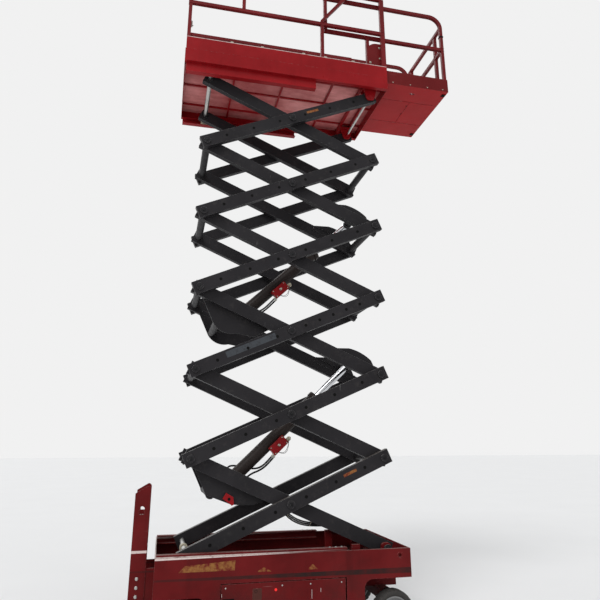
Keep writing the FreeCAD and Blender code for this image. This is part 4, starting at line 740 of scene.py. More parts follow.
def cylinder_frame(which):
    """Foot and turn of a lift cylinder: its lower pin, and the slope of its centre line."""
    level = 2 * which - 1
    c, s = math.cos(ARM_SLOPE), math.sin(ARM_SLOPE)
    x = FIXED_PIN_X - ARM_HALF * c + BARREL_PIN[0] * c + BARREL_PIN[1] * s
    z = LOW_PIN_Z + (level - 0.5) * LEVEL_RISE - BARREL_PIN[0] * s + BARREL_PIN[1] * c
    a, b = math.cos(CYLINDER_SLOPE), math.sin(CYLINDER_SLOPE)
    return np.array((x, 0.0, z)), np.array(((a, 0, -b), (0, 1, 0), (b, 0, a)))


def on_cylinder(shapes, which):
    """Shapes drawn along, across and above a cylinder's centre line, laid on that cylinder."""
    foot, matrix = cylinder_frame(which)
    return [shape.moved(foot, matrix) for shape in shapes]


def put(name, shapes, finish, body, slot=None, smooth=36.0):
    """One piece from several shapes, shifted to the frame, with its finish and the body it rides on."""
    shape = joined(shapes)
    points = shape.points + (DATUM_X, 0.0, 0.0)
    mesh = bpy.data.meshes.new(name)
    mesh.from_pydata(points.tolist(), [], [row for rows in shape.faces for row in rows.tolist()])
    mesh.materials.append(bpy.data.materials[finish])
    mesh.shade_smooth()
    mesh.set_sharp_from_angle(angle=math.radians(smooth))
    piece = bpy.data.objects.new(name, mesh)
    bpy.context.collection.objects.link(piece)
    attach(piece, body)
    slot = slot or SLOTS.get(finish)
    return piece


def surface(node):
    """A search tree of a CAD node's triangles."""
    mesh = frame["nodes"][node].data
    points = np.empty(len(mesh.vertices) * 3)
    mesh.vertices.foreach_get("co", points)
    mesh.calc_loop_triangles()
    corners = np.empty(len(mesh.loop_triangles) * 3, int)
    mesh.loop_triangles.foreach_get("vertices", corners)
    return BVHTree.FromPolygons(points.reshape(-1, 3).tolist(), corners.reshape(-1, 3).tolist())


def drawn_box(node):
    """The two corners of a CAD node's box, measured from the chassis datum."""
    return (np.array(corner) - (DATUM_X, 0, 0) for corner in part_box(node))


# Wheels

NUTS = 8
NUT_CIRCLE = 0.088
CAP_SEAT = 0.034
TYRE_RADIUS = 0.1905
NOTCHES = 28
NOTCH_DEPTH = 0.006

# Half a tyre's section from its bead to its middle: distance from the middle, and radius.
TYRE_HALF = ((0.0520, 0.1403), (0.0590, 0.1420), (0.0625, 0.1480), (0.0634, 0.1600), (0.0634, 0.1720),
             (0.0610, 0.1790), (0.0560, 0.1840), (0.0480, 0.1875), (0.0400, 0.1893), (0.0330, 0.1900),
             (0.0240, 0.1903), (0.0205, 0.1903), (0.0200, 0.1865), (0.0150, 0.1865), (0.0145, 0.1904),
             (0.0050, 0.1905))


def wheel_middle(corner):
    """Centre and radius of a wheel, measured on its CAD tyre."""
    low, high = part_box("tyre_" + corner)
    middle = (low + high) / 2
    return np.array((middle.x - DATUM_X, middle.y, middle.z)), (high.z - low.z) / 2


def tyre(radius):
    """A solid tyre about Y: a profile of width and radius turned round, its shoulders cut by notches.

    The radius at each angle is the profile's, less a notch depth where a cosine of the angle is high
    and the profile point lies on the shoulder.
    """
    half = np.array(TYRE_HALF)
    profile = np.concatenate([half, half[::-1] * (-1, 1)])
    angle = np.linspace(0.0, 2 * math.pi, 6 * NOTCHES, endpoint=False)
    shoulder = np.interp(np.abs(profile[:, 0]), (0.030, 0.038, 0.061, 0.0632), (0, 1, 1, 0))
    shoulder *= profile[:, 1] > 0.176
    notch = np.clip(np.cos(NOTCHES * angle) * 4 - 1.6, 0.0, 1.0)
    rings = profile[None, :, 1] * radius / TYRE_RADIUS - NOTCH_DEPTH * notch[:, None] * shoulder[None]
    points = np.stack([rings * np.cos(angle)[:, None], np.broadcast_to(profile[None, :, 0], rings.shape),
                       rings * np.sin(angle)[:, None]], -1)
    return skin(points, closed=True)


def seat(rim, middle, side, x, z):
    """The rim's outer face at a place, looked for from outside the wheel."""
    hit = rim.ray_cast(Vector((x + DATUM_X, middle[1] + side * 0.3, z)), Vector((0, -side, 0)))[0]
    return (x, hit.y, z)


class LIFT_OT_wheels(Operator):
    """Makes the solid tyres, the wheel nuts and the hub caps"""
    bl_idname = "lift.wheels"
    bl_label = "Wheels"

    def execute(self, context):
        nut = joined([bolt(0.0115, 0.012, 1.3), lathed("stud end")])
        for corner in CORNERS:
            middle, radius = wheel_middle(corner)
            body = "wheel_" + corner
            side = math.copysign(1.0, middle[1])
            made = put("Solid_Tyre_" + corner, [tyre(radius).moved(middle)], "Tyre_Rubber", body, smooth=40.0)
            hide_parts("tyre_" + corner)
            rim = surface("rim_" + corner)
            fittings = []
            for k in range(NUTS):
                angle = 2 * math.pi * (k + 0.5) / NUTS
                x = middle[0] + NUT_CIRCLE * math.cos(angle)
                z = middle[2] + NUT_CIRCLE * math.sin(angle)
                fittings.append(aimed(nut, (0, side, 0), seat(rim, middle, side, x, z)))
            face = seat(rim, middle, side, middle[0] + CAP_SEAT, middle[2])
            fittings.append(aimed(lathed("hub cap"), (0, side, 0), face).moved((-CAP_SEAT, 0, 0)))
            put("Wheel_Nuts_" + corner, fittings, "Bright_Steel", body)
        return {"FINISHED"}


# Arms

# Places of the arms' holes, each covered by a near-black plug as painted shade.
HOLE_PLACES = (-0.785, -0.471, -0.157, 0.157, 0.471, 0.785)
MORE_HOLE_PLACES = {3: (0.315, 0.624)}
TUBE_WELD = 0.0412

# Welds of a gusset: levels, the edge's two ends and height, then the cross tube's place, height and radius.
GUSSET_WELDS = (((1, 3), -0.895, -0.235, -0.0665, -0.700, -0.205, TUBE_WELD),
                ((3, 5), 0.480, 0.950, 0.0665, 0.785, 0.080, 0.0330))


class LIFT_OT_arm_fittings(Operator):
    """Makes near-black plugs over the outer arms' holes as their painted shade, the pin bolts and the welds
    of the inner frames
    """
    bl_idname = "lift.arm_fittings"
    bl_label = "Arm fittings"

    def execute(self, context):
        sizes = context.scene.lift_sizes
        plug = turned([(sizes.plug * 1.25, -0.0005), (sizes.plug * 1.25, 0.0006), (sizes.plug, 0.0012),
                       (sizes.plug * 0.9, 0.0008), (sizes.plug * 0.3, 0.0007)], 18)
        head = bolt(sizes.bolt, 0.0048, 1.7)
        for level in LEVELS:
            holes = [aimed(plug, NEAR, (x, -OUTER_FACE, 0)) for x in HOLE_PLACES + MORE_HOLE_PLACES.get(level, ())]
            put(f"Arm_Hole_Shades_{level}", on_arm(both(holes), level), "Dark_Plastic", f"outer_arms_{level}")
            ends = (ARM_HALF,) if level == LEVELS[-1] else (-ARM_HALF, ARM_HALF)
            heads = [aimed(head, NEAR, (x, -CAP_FACE, 0)) for x in sorted((0.0, *ends))]
            put(f"Pin_Bolts_{level}", on_arm(both(heads), level, True), "Black_Enamel", f"inner_arms_{level}")
            self.welds(level, ends, sizes.bead)
        return {"FINISHED"}

    def welds(self, level, ends, radius):
        """Beads round the cross tubes and along the gussets of one inner frame."""
        beads = [bead(ring_path((x, -INNER_FACE, 0), TUBE_WELD), radius, closed=True) for x in ends]
        for levels, start, end, edge, x, z, tube in GUSSET_WELDS:
            if level in levels:
                beads.append(bead([(start, -GUSSET_EDGE, edge), (end, -GUSSET_EDGE, edge)], radius))
                beads.append(bead(ring_path((x, -GUSSET_TUBE_END, z), tube), radius, closed=True))
        put(f"Arm_Welds_{level}", on_arm(both(beads), level, True), "Arm_Enamel", f"inner_arms_{level}",
            smooth=60.0)


# Blank patches of the outer arms: name, level, two places along the arm, two heights, finish.
ARM_PATCHES = (("Bare_Patch", 3, (-0.69, -0.17), (-0.015, 0.045), "Bare_Patch"),
               ("Arm_Label_Low", 1, (0.56, 0.70), (0.002, 0.028), "Worn_Label"),
               ("Arm_Label_High", 6, (0.185, 0.33), (0.005, 0.031), "Worn_Label"))
STOP_OUTLINE = ((-0.581, -0.198), (-0.573, -0.139), (-0.498, -0.147), (-0.466, -0.200), (-0.478, -0.219))


class LIFT_OT_arm_marks(Operator):
    """Makes the blank patches of the outer arms and the red stop blocks on the lowest gussets"""
    bl_idname = "lift.arm_marks"
    bl_label = "Arm marks"

    def execute(self, context):
        faces = (-OUTER_FACE + LABEL_SUNK, -OUTER_FACE - 0.0004)
        for name, level, x, z, finish in ARM_PATCHES:
            put(name, on_arm([plate(x, faces, z, 0.004)], level), finish, f"outer_arms_{level}", "arm_paint")
        stops = both([prism(STOP_OUTLINE, -GUSSET_FACE, -GUSSET_FACE - 0.030, 0.002)])
        put("Stop_Blocks", on_arm(stops, 1, True), "Red_Enamel", "inner_arms_1")
        eyes = both([aimed(lathed("stop eye"), NEAR, (-0.527, -GUSSET_FACE - 0.0298, -0.178))])
        put("Stop_Block_Eyes", on_arm(eyes, 1, True), "Dark_Plastic", "inner_arms_1")
        return {"FINISHED"}


# Cylinders

HOSE_ROUTES = {
    "Base_Hose": ((0.572, -0.098, -0.104), (0.520, -0.100, -0.108), (0.455, -0.078, -0.112),
                  (0.402, -0.022, -0.104), (0.362, 0.044, -0.076), (0.322, 0.094, -0.026),
                  (0.280, 0.106, 0.034), (0.236, 0.088, 0.084), (0.192, 0.048, 0.108),
                  (0.150, 0.008, 0.090)),
    "Side_Hose": ((0.572, -0.092, -0.125), (0.518, -0.094, -0.129), (0.448, -0.076, -0.132),
                  (0.388, -0.028, -0.124), (0.340, 0.024, -0.108), (0.285, 0.048, -0.098),
                  (0.228, 0.040, -0.102), (0.188, 0.018, -0.100), (0.158, 0.002, -0.084)),
}

# A hose end's nut and ribbed ferrule: each ring as a share of the radius and of the length.
HOSE_NUT = ((1.5, 0.0), (1.5, 0.30), (1.3, 0.34))
HOSE_FERRULE = ((1.05, 0.33), (1.25, 0.38), (1.25, 0.55), (1.15, 0.58), (1.15, 0.64), (1.25, 0.67),
                (1.25, 0.82), (1.15, 0.85), (1.2, 1.0))

GLAND_X = 1.320
BARREL_BEADS = ((0.0835, 0.0645), (1.2745, 0.0660))
VALVE_FACE = 0.1230
COIL = (-0.095, -0.098)


def hose(name, points, diameter, body, kind):
    """A free hose: one smooth open spline through given control points, as thick as the hose."""
    points = np.asarray(points, float) + (DATUM_X, 0.0, 0.0)
    curve = bpy.data.curves.new(name, "CURVE")
    curve.dimensions = "3D"
    line = curve.splines.new("NURBS")
    line.points.add(len(points) - 1)
    line.points.foreach_set("co", np.insert(points, 3, 1.0, axis=1).ravel())
    line.order_u = 3
    line.use_endpoint_u = True
    curve.resolution_u = 10
    curve.bevel_depth = diameter / 2
    curve.bevel_resolution = 3
    curve.use_fill_caps = True
    curve.materials.append(bpy.data.materials["Hose_Rubber"])
    piece = bpy.data.objects.new(name, curve)
    bpy.context.collection.objects.link(piece)
    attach(piece, body)


def fitting(radius, length):
    """A hose end about Z: a hexagon nut under a ribbed ferrule, the tables' shares times the sizes."""
    nut, ferrule = (np.array(shares) * (radius, length) for shares in (HOSE_NUT, HOSE_FERRULE))
    return joined([turned(nut, 6), turned(ferrule, 20)])


class LIFT_OT_cylinder_fittings(Operator):
    """Makes the rings, ports, valve parts and hoses of the two lift cylinders"""
    bl_idname = "lift.cylinder_fittings"
    bl_label = "Cylinder fittings"

    def execute(self, context):
        sizes = context.scene.lift_sizes
        end = fitting(sizes.feed * 0.4, 0.036)
        for which in (1, 2):
            body = f"barrel_{which}"
            self.rings(which, body, sizes.bead)
            self.valve(which, body)
            foot, matrix = cylinder_frame(which)
            ends = []
            for name, route in HOSE_ROUTES.items():
                route = np.array(route)
                hose(f"{name}_{which}", route @ matrix.T + foot, sizes.feed, body, name)
                for tip, inner in ((route[0], route[1]), (route[-1], route[-2])):
                    lead = (tip - inner) / np.linalg.norm(tip - inner)
                    ends.append(aimed(end, -lead, tip + lead * 0.021))
            put(f"Hose_Ends_{which}", on_cylinder(ends, which), "Zinc_Fitting", body)
        return {"FINISHED"}

    def rings(self, which, body, radius):
        """Wiper ring at the gland, welds at the foot and at the gland, and the two port bosses."""
        wiper = aimed(lathed("wiper"), AHEAD, (GLAND_X, 0, 0))
        put(f"Wiper_Ring_{which}", on_cylinder([wiper], which), "Dark_Plastic", body)
        beads = [bead(ring_path((x, 0, 0), ring, "x", 40), radius, closed=True) for x, ring in BARREL_BEADS]
        bosses = [aimed(lathed("port boss"), UP, (0.136, 0, 0.062)),
                  aimed(lathed("port boss"), DOWN, (0.150, 0, -0.062))]
        put(f"Barrel_Welds_{which}", on_cylinder(beads + bosses, which), "Barrel_Enamel", body, smooth=60.0)

    def valve(self, which, body):
        """Coil cap, its nut, the plug with two thin wires, and the cap screws of a valve block.

        A wire's x, y and z each change in a straight line with its share t; half a sine wave of t draws
        it back and lets it sag.
        """
        cap = aimed(lathed("coil cap"), AHEAD, (0.783, *COIL))
        plug = block((0.788, 0.816), (-0.112, -0.140), (-0.110, -0.086), 0.002)
        put(f"Valve_Coil_{which}", on_cylinder([cap, plug], which), "Cream_Nylon", body)
        metal = [aimed(lathed("cap screw"), NEAR, (x, -VALVE_FACE, z))
                 for x in (0.612, 0.763) for z in (-0.040, -0.108)]
        metal.append(aimed(lathed("coil nut"), AHEAD, (0.822, *COIL)))
        metal.append(aimed(lathed("valve stem"), NEAR, (0.690, -VALVE_FACE, -0.072)))
        put(f"Valve_Metal_{which}", on_cylinder(metal, which), "Zinc_Fitting", body)
        t = np.linspace(0.0, 1.0, 24)
        wires = []
        for side in (-1, 1):
            x = 0.800 - 0.16 * t - 0.02 * np.sin(math.pi * t)
            y = -0.138 + 0.006 * side + 0.012 * t
            z = -0.100 - 0.055 * np.sin(math.pi * t) * (1 + 0.12 * side) - 0.018 * t
            wires.append(swept(np.stack([x, y, z], -1), 0.0021, 6))
        put(f"Valve_Wires_{which}", on_cylinder(wires, which), "Dark_Plastic", body)


FRAME_HOSE = np.array(((-0.150, -0.334, -0.020), (-0.105, -0.334, -0.024), (-0.050, -0.330, -0.048),
                       (0.010, -0.322, -0.082), (0.080, -0.318, -0.106), (0.160, -0.318, -0.112),
                       (0.240, -0.320, -0.100), (0.320, -0.324, -0.072), (0.390, -0.330, -0.042),
                       (0.450, -0.334, -0.026), (0.520, -0.334, -0.020), (0.600, -0.334, -0.018),
                       (0.680, -0.334, -0.018), (0.760, -0.334, -0.018), (0.830, -0.334, -0.018)))
CLAMP_WIDTHS = ((-0.150, 0.026), (0.835, 0.026), (0.560, 0.016))
CLAMP_FACE = 0.3245
TIE_PLACES = (0.045, 0.275)


class LIFT_OT_frame_hoses(Operator):
    """Makes the hoses along the lowest inner arm, their clamps and cable ties"""
    bl_idname = "lift.frame_hoses"
    bl_label = "Frame hoses"

    def execute(self, context):
        sizes = context.scene.lift_sizes
        spread = sizes.hose + 0.0006
        along, side, height = FRAME_HOSE.T
        for k in range(3):
            route = Shape(FRAME_HOSE + (0.0, 0.0, (k - 1) * spread), [])
            points = on_arm([route], 1, True)[0].points
            hose(f"Frame_Hose_{k + 1}", points, sizes.hose, "inner_arms_1", "Frame_Hose")
        clamps, ties = [], []
        for at, wide in CLAMP_WIDTHS:
            z = np.interp(at, along, height)
            clamps.append(block((at - wide / 2, at + wide / 2), (-0.3481, -CLAMP_FACE),
                                (z - 1.95 * spread, z + 1.95 * spread), 0.002))
            screw = (at, -CLAMP_FACE, z + 1.72 * spread - 0.002)
            clamps.append(aimed(bolt(0.0065, 0.006), (0, 1, 0), screw))
        for at in TIE_PLACES:
            y, z = np.interp(at, along, side), np.interp(at, along, height)
            loop = rounded(sizes.hose * 1.15, spread * 3 + 0.001, sizes.hose * 0.5, y, z + 0.003, 5)
            ties.append(swept(np.insert(loop, 0, at, axis=1), 0.0024, 6, closed=True))
        put("Hose_Clamps", on_arm(clamps, 1, True), "Zinc_Fitting", "inner_arms_1")
        put("Cable_Ties", on_arm(ties, 1, True), "Cream_Nylon", "inner_arms_1")
        return {"FINISHED"}


# Chassis

# Blank triangles: middle, lower edge, half the lower edge's length, rise.
TRIANGLES = ((-0.262, 0.583, 0.065, 0.033), (0.170, 0.582, 0.046, 0.039))
TIP_HALF = 0.006
BLANK_LABEL = ((-0.98, 0.606), (-0.93, 0.655), (-0.508, 0.683), (-0.513, 0.606))
# Scratches of a door: place, lower and upper end.
SCRATCHES = ((0.161, 0.353, 0.426), (0.241, 0.402, 0.433), (-0.615, 0.405, 0.430))
RIM_Z = 0.5295


def ring_hole(inner, outer, height, sides=36):
    """A flat ring about Z with a round hole: a small profile turned and closed on itself."""
    angle = np.linspace(0.0, 2 * math.pi, sides, endpoint=False)
    soft = 0.0006
    rise = height - soft
    profile = np.array([(inner, -0.001), (outer, -0.001), (outer, rise), (outer - soft, height),
                        (inner + soft, height), (inner, rise)])
    rings = np.stack([np.outer(np.cos(angle), profile[:, 0]), np.outer(np.sin(angle), profile[:, 0]),
                      np.broadcast_to(profile[:, 1], (sides, len(profile)))], -1)
    return skin(rings, closed=True)


class LIFT_OT_chassis_fittings(Operator):
    """Makes the chassis' blank labels, lashing rings, track bolts and welds, and the tray doors' fittings"""
    bl_idname = "lift.chassis_fittings"
    bl_label = "Chassis fittings"

    def execute(self, context):
        outlines = [BLANK_LABEL]
        for x, low, half, rise in TRIANGLES:
            outlines.append([(x - half, low), (x + half, low),
                             (x + TIP_HALF, low + rise), (x - TIP_HALF, low + rise)])
        labels = [prism(line, -CHASSIS_SIDE + LABEL_SUNK, -CHASSIS_SIDE - LABEL_PROUD) for line in outlines]
        put("Blank_Labels", both(labels), "Worn_Label", "chassis", "red_paint")
        rings = [aimed(ring_hole(0.0165, 0.0275, 0.0016), NEAR, (0.989, -CHASSIS_SIDE, 0.662))]
        put("Lashing_Rings", both(rings), "Chassis_Enamel", "chassis")
        bolts = [aimed(bolt(0.009, 0.007), UP, (x, -0.530, 0.7383)) for x in (0.345, 0.400, 0.455)]
        put("Track_Bolts", both(bolts), "Bright_Steel", "chassis")
        self.door("tray_right")
        self.door("tray_left", mirrored=True)
        beads = [bead([(x, -0.330, RIM_Z), (x, -0.590, RIM_Z)], 0.004)
                 for x in (FIXED_PIN_X - 0.079, FIXED_PIN_X + 0.079)]
        beads.append(bead([(-1.165, -0.5865, RIM_Z), (1.080, -0.5865, RIM_Z)], 0.005))
        put("Chassis_Welds", both(beads), "Chassis_Enamel", "chassis", smooth=60.0)
        return {"FINISHED"}

    def door(self, body, mirrored=False):
        """Latch plate, scratches, lock, hand slot, lamp and screws of one tray door."""
        face = -CHASSIS_SIDE
        latch = prism(rounded(0.080, 0.088, 0.010, -0.3165, 0.415), face + 0.001, face - 0.0012, 0.0006)
        scratches = [prism(rounded(0.0035, high - low, 0.0015, x, (low + high) / 2), face + LABEL_SUNK,
                           face - 0.0003) for x, low, high in SCRATCHES]
        slot = prism(rounded(0.100, 0.013, 0.0062, -0.5585, 0.385), face + 0.0006, face - 0.0006)
        lock = aimed(lathed("door lock"), NEAR, (-0.328, face, 0.436))
        lamp = aimed(lathed("lamp lens"), NEAR, (-0.156, face, 0.440))
        screws = [aimed(button(0.0065, 0.0017), NEAR, (x, face, z))
                  for x in (-0.585, -0.100, 0.150, 0.430) for z in (0.190, 0.470)]
        for name, shapes, finish in (("Latch_Plate", [latch], "Latch_Enamel"),
                                     ("Door_Scratches", scratches, "Bleached_Enamel"),
                                     ("Door_Darks", [lock, slot], "Dark_Plastic"),
                                     ("Door_Lamp", [lamp], "Red_Lens"),
                                     ("Door_Screws", screws, "Bright_Steel")):
            if mirrored:
                shapes = [across(shape) for shape in shapes]
            put(f"{name}_{body}", shapes, finish, body)


TREADS = (0.98, 0.75, 0.52, 0.29)


class LIFT_OT_ladder_fittings(Operator):
    """Makes the grip studs on the ladder's treads and the bolts of its brackets"""
    bl_idname = "lift.ladder_fittings"
    bl_label = "Ladder fittings"

    def execute(self, context):
        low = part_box("ladder")[0]
        rear, front = low.x - DATUM_X + 0.030, low.x - DATUM_X + 0.105
        x, y = np.meshgrid(np.linspace(rear, front, 5), np.linspace(-0.180, 0.180, 19))
        places = [np.stack([x.ravel(), y.ravel(), np.full(x.size, top)], -1) for top in TREADS]
        put("Tread_Studs", [repeated(lathed("grip stud"), np.concatenate(places))], "Bright_Steel", "chassis")
        heads = [aimed(bolt(0.010, 0.007), NEAR, (rear + 0.035, low.y, z)) for z in (0.36, 0.43, 0.50)]
        put("Ladder_Bolts", both(heads), "Bright_Steel", "chassis")
        return {"FINISHED"}


# Platform

def lozenge(length, width, height):
    """A raised tread lozenge: a long diamond base, its ridge half as long, and flat sides between them."""
    points = [(-length, 0, 0), (0, -width, 0), (length, 0, 0), (0, width, 0),
              (-length / 2, 0, height), (length / 2, 0, height)]
    return Shape(points, [[(0, 1, 5, 4), (2, 3, 4, 5)], [(1, 2, 5), (3, 0, 4)], [(3, 2, 1, 0)]]).outward()


def treads(x, y, z, pitch):
    """Lozenges on a grid of even steps, each turned a right angle from its neighbours."""
    spots_x = np.arange(x[0] + pitch / 2, x[1] - pitch / 3, pitch)
    spots_y = np.arange(y[0] + pitch / 2, y[1] - pitch / 3, pitch)
    gx, gy = np.meshgrid(spots_x, spots_y)
    number = np.add.outer(np.arange(len(spots_y)), np.arange(len(spots_x))) % 2 == 0
    places = np.stack([gx, gy, np.full(gx.shape, z - 0.0002)], -1)
    shape = lozenge(pitch * 0.42, pitch * 0.12, 0.0016)
    shapes = []
    for angle, chosen in ((math.pi / 4, number), (-math.pi / 4, ~number)):
        c, s = math.cos(angle), math.sin(angle)
        shapes.append(repeated(shape.moved(matrix=((c, -s, 0), (s, c, 0), (0, 0, 1))), places[chosen]))
    return shapes


class LIFT_OT_decks(Operator):
    """Makes the raised tread of the platform's and the extension's floors"""
    bl_idname = "lift.decks"
    bl_label = "Deck treads"

    def execute(self, context):
        pitch = context.scene.lift_sizes.tread
        for name, x, y, z, body in (
                ("Platform_Tread", (-1.150, 0.755), (-0.545, 0.545), DECK_FLOOR, "platform"),
                ("Extension_Tread", (0.775, 1.862), (-0.470, 0.470), NOSE_LOW + 0.006, "extension")):
            put(name, treads(x, y, z, pitch), "Red_Enamel", body, smooth=20.0)
        return {"FINISHED"}


class LIFT_OT_rail_welds(Operator):
    """Makes the weld beads where the guard rails' tubes meet"""
    bl_idname = "lift.rail_welds"
    bl_label = "Rail welds"

    def execute(self, context):
        radius = context.scene.lift_sizes.bead * 0.85
        half = RAIL_HALF + 0.0006
        rear, middle, front = -1.1877, 0.325, 1.077
        under, over, top = MID_RAIL - half, MID_RAIL + half, TOP_RAIL - half
        posts = [(rear, -RAIL_SIDE, (under, over, top)), (-0.596, -RAIL_SIDE, (over, top)),
                 (middle, -RAIL_SIDE, (under, over)), (0.670, -RAIL_SIDE, (top,)),
                 (front, -RAIL_SIDE, (under, over, top))]
        posts += [(x, -RAIL_SIDE, (DECK_FLOOR + 0.001,)) for x in (rear, middle, front)]
        put("Rail_Welds", both(post_beads(posts, half, radius)), "Rail_Enamel", "platform", smooth=60.0)
        under, over, foot = NOSE_MID_RAIL - half, NOSE_MID_RAIL + half, NOSE_LOW + 0.007
        nose = post_beads([(0.384, -NOSE_RAIL_SIDE, (over, NOSE_TOP_RAIL - half)),
                           (0.903, -NOSE_RAIL_SIDE, (under,)),
                           (END_POST_X, -NOSE_RAIL_SIDE, (foot, under, over)),
                           (END_POST_X, -0.350, (foot, under, over, NOSE_TOP_RAIL - 0.169))], half, radius)
        for z in (NOSE_MID_RAIL, NOSE_TOP_RAIL - 0.150):
            path = square_path((END_POST_X, -NOSE_RAIL_SIDE + half, z), half, "y")
            nose.append(bead(path, radius, closed=True))
        put("Extension_Welds", both(nose), "Rail_Enamel", "extension", smooth=60.0)
        return {"FINISHED"}


TOE_CLIPS = (-0.716, -0.374, 0.100, 0.356, 0.692)
TOE_FACE = 0.5905
# Shield bolts: place along the extension, height over the deck.
SHIELD_BOLTS = ((1.023, 0.310), (1.047, 0.452), (1.047, 0.600), (0.925, 0.380))


def band(path, height):
    """A flat band round a square post: its corners and the same a fifth further out, at both heights."""
    middle = path.mean(0)
    wide = middle + (path - middle) * (1.2, 1.2, 1.0)
    rise = np.array((0, 0, height / 2))
    return skin(np.stack([path - rise, wide - rise, wide + rise, path + rise]), closed=True)


class LIFT_OT_platform_fittings(Operator):
    """Makes the platform's toe clips, pin sleeve, shield bolts, pads and gate latch"""
    bl_idname = "lift.platform_fittings"
    bl_label = "Platform fittings"

    def execute(self, context):
        toe_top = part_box("toe_boards")[1].z
        clips = []
        for x in TOE_CLIPS:
            clips.append(block((x - 0.016, x + 0.016), (-TOE_FACE, -0.5965),
                               (toe_top - 0.0005, toe_top + 0.014), 0.001))
            clips.append(aimed(button(0.005, 0.003), (0, 1, 0), (x, -TOE_FACE, toe_top + 0.007)))
        put("Toe_Clips", both(clips), "Zinc_Fitting", "platform")
        reach = GUSSET_FACE - 0.010
        sleeve = [(FIXED_PIN_X, y, DECK_Z - 0.064) for y in (-reach, 0.0, reach)]
        put("Pin_Rod_Sleeve", [swept(resampled(sleeve, 0.05), 0.0145, 20)], "Bright_Steel", "platform")
        bolts = [aimed(bolt(0.009, 0.0065), NEAR, (x, -NOSE_SIDE, z + DECK_Z)) for x, z in SHIELD_BOLTS]
        bolts += [aimed(button(0.007, 0.004), NEAR, (x, -NOSE_SIDE, DECK_Z + 0.150))
                  for x in (1.20, 1.42, 1.64, 1.84)]
        put("Shield_Bolts", both(bolts), "Zinc_Fitting", "extension")
        pads = [block((1.858, 1.903), (-0.438, -0.486), (NOSE_LOW - 0.0055, NOSE_LOW + 0.0005), 0.001)]
        pads += [aimed(lathed("round pad"), DOWN, (x, y, NOSE_LOW))
                 for x, y in ((1.534, -0.150), (1.536, 0.030))]
        pads.append(across(pads[0]))
        clamp = square_path((END_POST_X, -NOSE_RAIL_SIDE, DECK_Z + 0.930), RAIL_HALF + 0.0005)
        pads += both([band(clamp, 0.018)])
        put("Extension_Pads", pads, "Dark_Plastic", "extension")
        self.gate()
        return {"FINISHED"}

    def gate(self):
        """The gate's sprung latch: a plate and a bolt with a knob at the gate's free side."""
        low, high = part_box("entry_gate")
        face = low.x - DATUM_X + RAIL_HALF + RAIL_HALF
        free = low.y if abs(low.y) < abs(high.y) else high.y
        side = math.copysign(1.0, free)
        barrel = [(face + 0.009, free - side * back, MID_RAIL) for back in (0.100, 0.050, 0.004)]
        edges = tuple(sorted((free - side * 0.105, free - side * 0.006)))
        keeper = block((face - 0.0005, face + 0.003), edges, (MID_RAIL - 0.016, MID_RAIL + 0.016))
        knob = aimed(button(0.008, 0.012), AHEAD, (face + 0.016, free - side * 0.075, MID_RAIL))
        bar = swept(resampled(barrel, 0.02), 0.0075, 14)
        put("Gate_Latch", [bar, keeper, knob], "Bright_Steel", "gate")


# Trays' loads

CELLS = 4
# The hydraulic unit's lids, as shares of its length: tank, motor and pump.
UNIT_LIDS = ((0.02, 0.47), (0.50, 0.76), (0.79, 0.98))
UNIT_INSET = 0.012
UNIT_RISE = 0.0045


class LIFT_OT_tray_loads(Operator):
    """Makes the caps, posts and straps of the batteries and the fittings of the hydraulic unit"""
    bl_idname = "lift.tray_loads"
    bl_label = "Tray loads"

    def execute(self, context):
        """Each strap is a straight line between two posts, lifted by half a sine wave."""
        low, high = drawn_box("battery_pack")
        length, width = high[0] - low[0], high[1] - low[1]
        middle_y = (low[1] + high[1]) / 2
        near, far = low[1] + width * 0.2, low[1] + width * 0.8
        t = np.linspace(0.0, 1.0, 12)[:, None]
        caps, posts, straps = [], [], []
        for k in range(CELLS):
            x = low[0] + length * (k + 0.5) / CELLS
            for j in (-1, 0, 1):
                caps.append(aimed(lathed("cell cap"), UP, (x + j * length / CELLS * 0.27, middle_y, high[2])))
            posts += [aimed(lathed("cell post"), UP, (x, y, high[2])) for y in (near, far)]
            if k:
                start = np.array((x - length / CELLS, far, high[2] + 0.008))
                end = np.array((x, near, high[2] + 0.008))
                arch = start + (end - start) * t + np.array((0, 0, 0.012)) * np.sin(math.pi * t)
                straps.append(swept(arch, 0.005, 10))
        put("Battery_Caps", caps + straps, "Dark_Plastic", "tray_left")
        put("Battery_Posts", posts, "Zinc_Fitting", "tray_left")
        self.hydraulics("tray_right")
        return {"FINISHED"}

    def hydraulics(self, body):
        """Three lids, the tank's filler cap, the motor's ribs, the unions and the screws."""
        low, high = drawn_box("hydraulic_unit")
        length, top = high[0] - low[0], high[2]
        sides = (low[1] + UNIT_INSET, high[1] - UNIT_INSET)
        middle = (sides[0] + sides[1]) / 2
        lids, metal = [], []
        for start, end in UNIT_LIDS:
            x = (low[0] + length * start, low[0] + length * end)
            outline = rounded(x[1] - x[0], 0.0055, 0.001, (x[0] + x[1]) / 2, top + 0.0020)
            lids.append(prism(outline, *sides, 0.001))
            metal += [aimed(bolt(0.0055, 0.005), UP, (along, side, top + UNIT_RISE))
                      for side in (sides[0] + UNIT_INSET, sides[1] - UNIT_INSET)
                      for along in (x[0] + UNIT_INSET, x[1] - UNIT_INSET)]
        lids.append(aimed(lathed("tank cap"), UP, (low[0] + length * 0.12, middle, top + UNIT_RISE)))
        centre = (low[0] + length * 0.63, middle, top + 0.0055)
        lids += [swept(ring_path(centre, radius, "z"), 0.0022, 6, closed=True)
                 for radius in (0.018, 0.030, 0.042)]
        for share, y in ((0.84, middle - 0.035), (0.84, middle + 0.035), (0.93, middle)):
            metal.append(aimed(lathed("union"), UP, (low[0] + length * share, y, top + UNIT_RISE)))
        put("Unit_Lids", lids, "Rim_Enamel", body)
        put("Unit_Fittings", metal, "Zinc_Fitting", body)


# Studio

FLOOR_HALF = 60.0


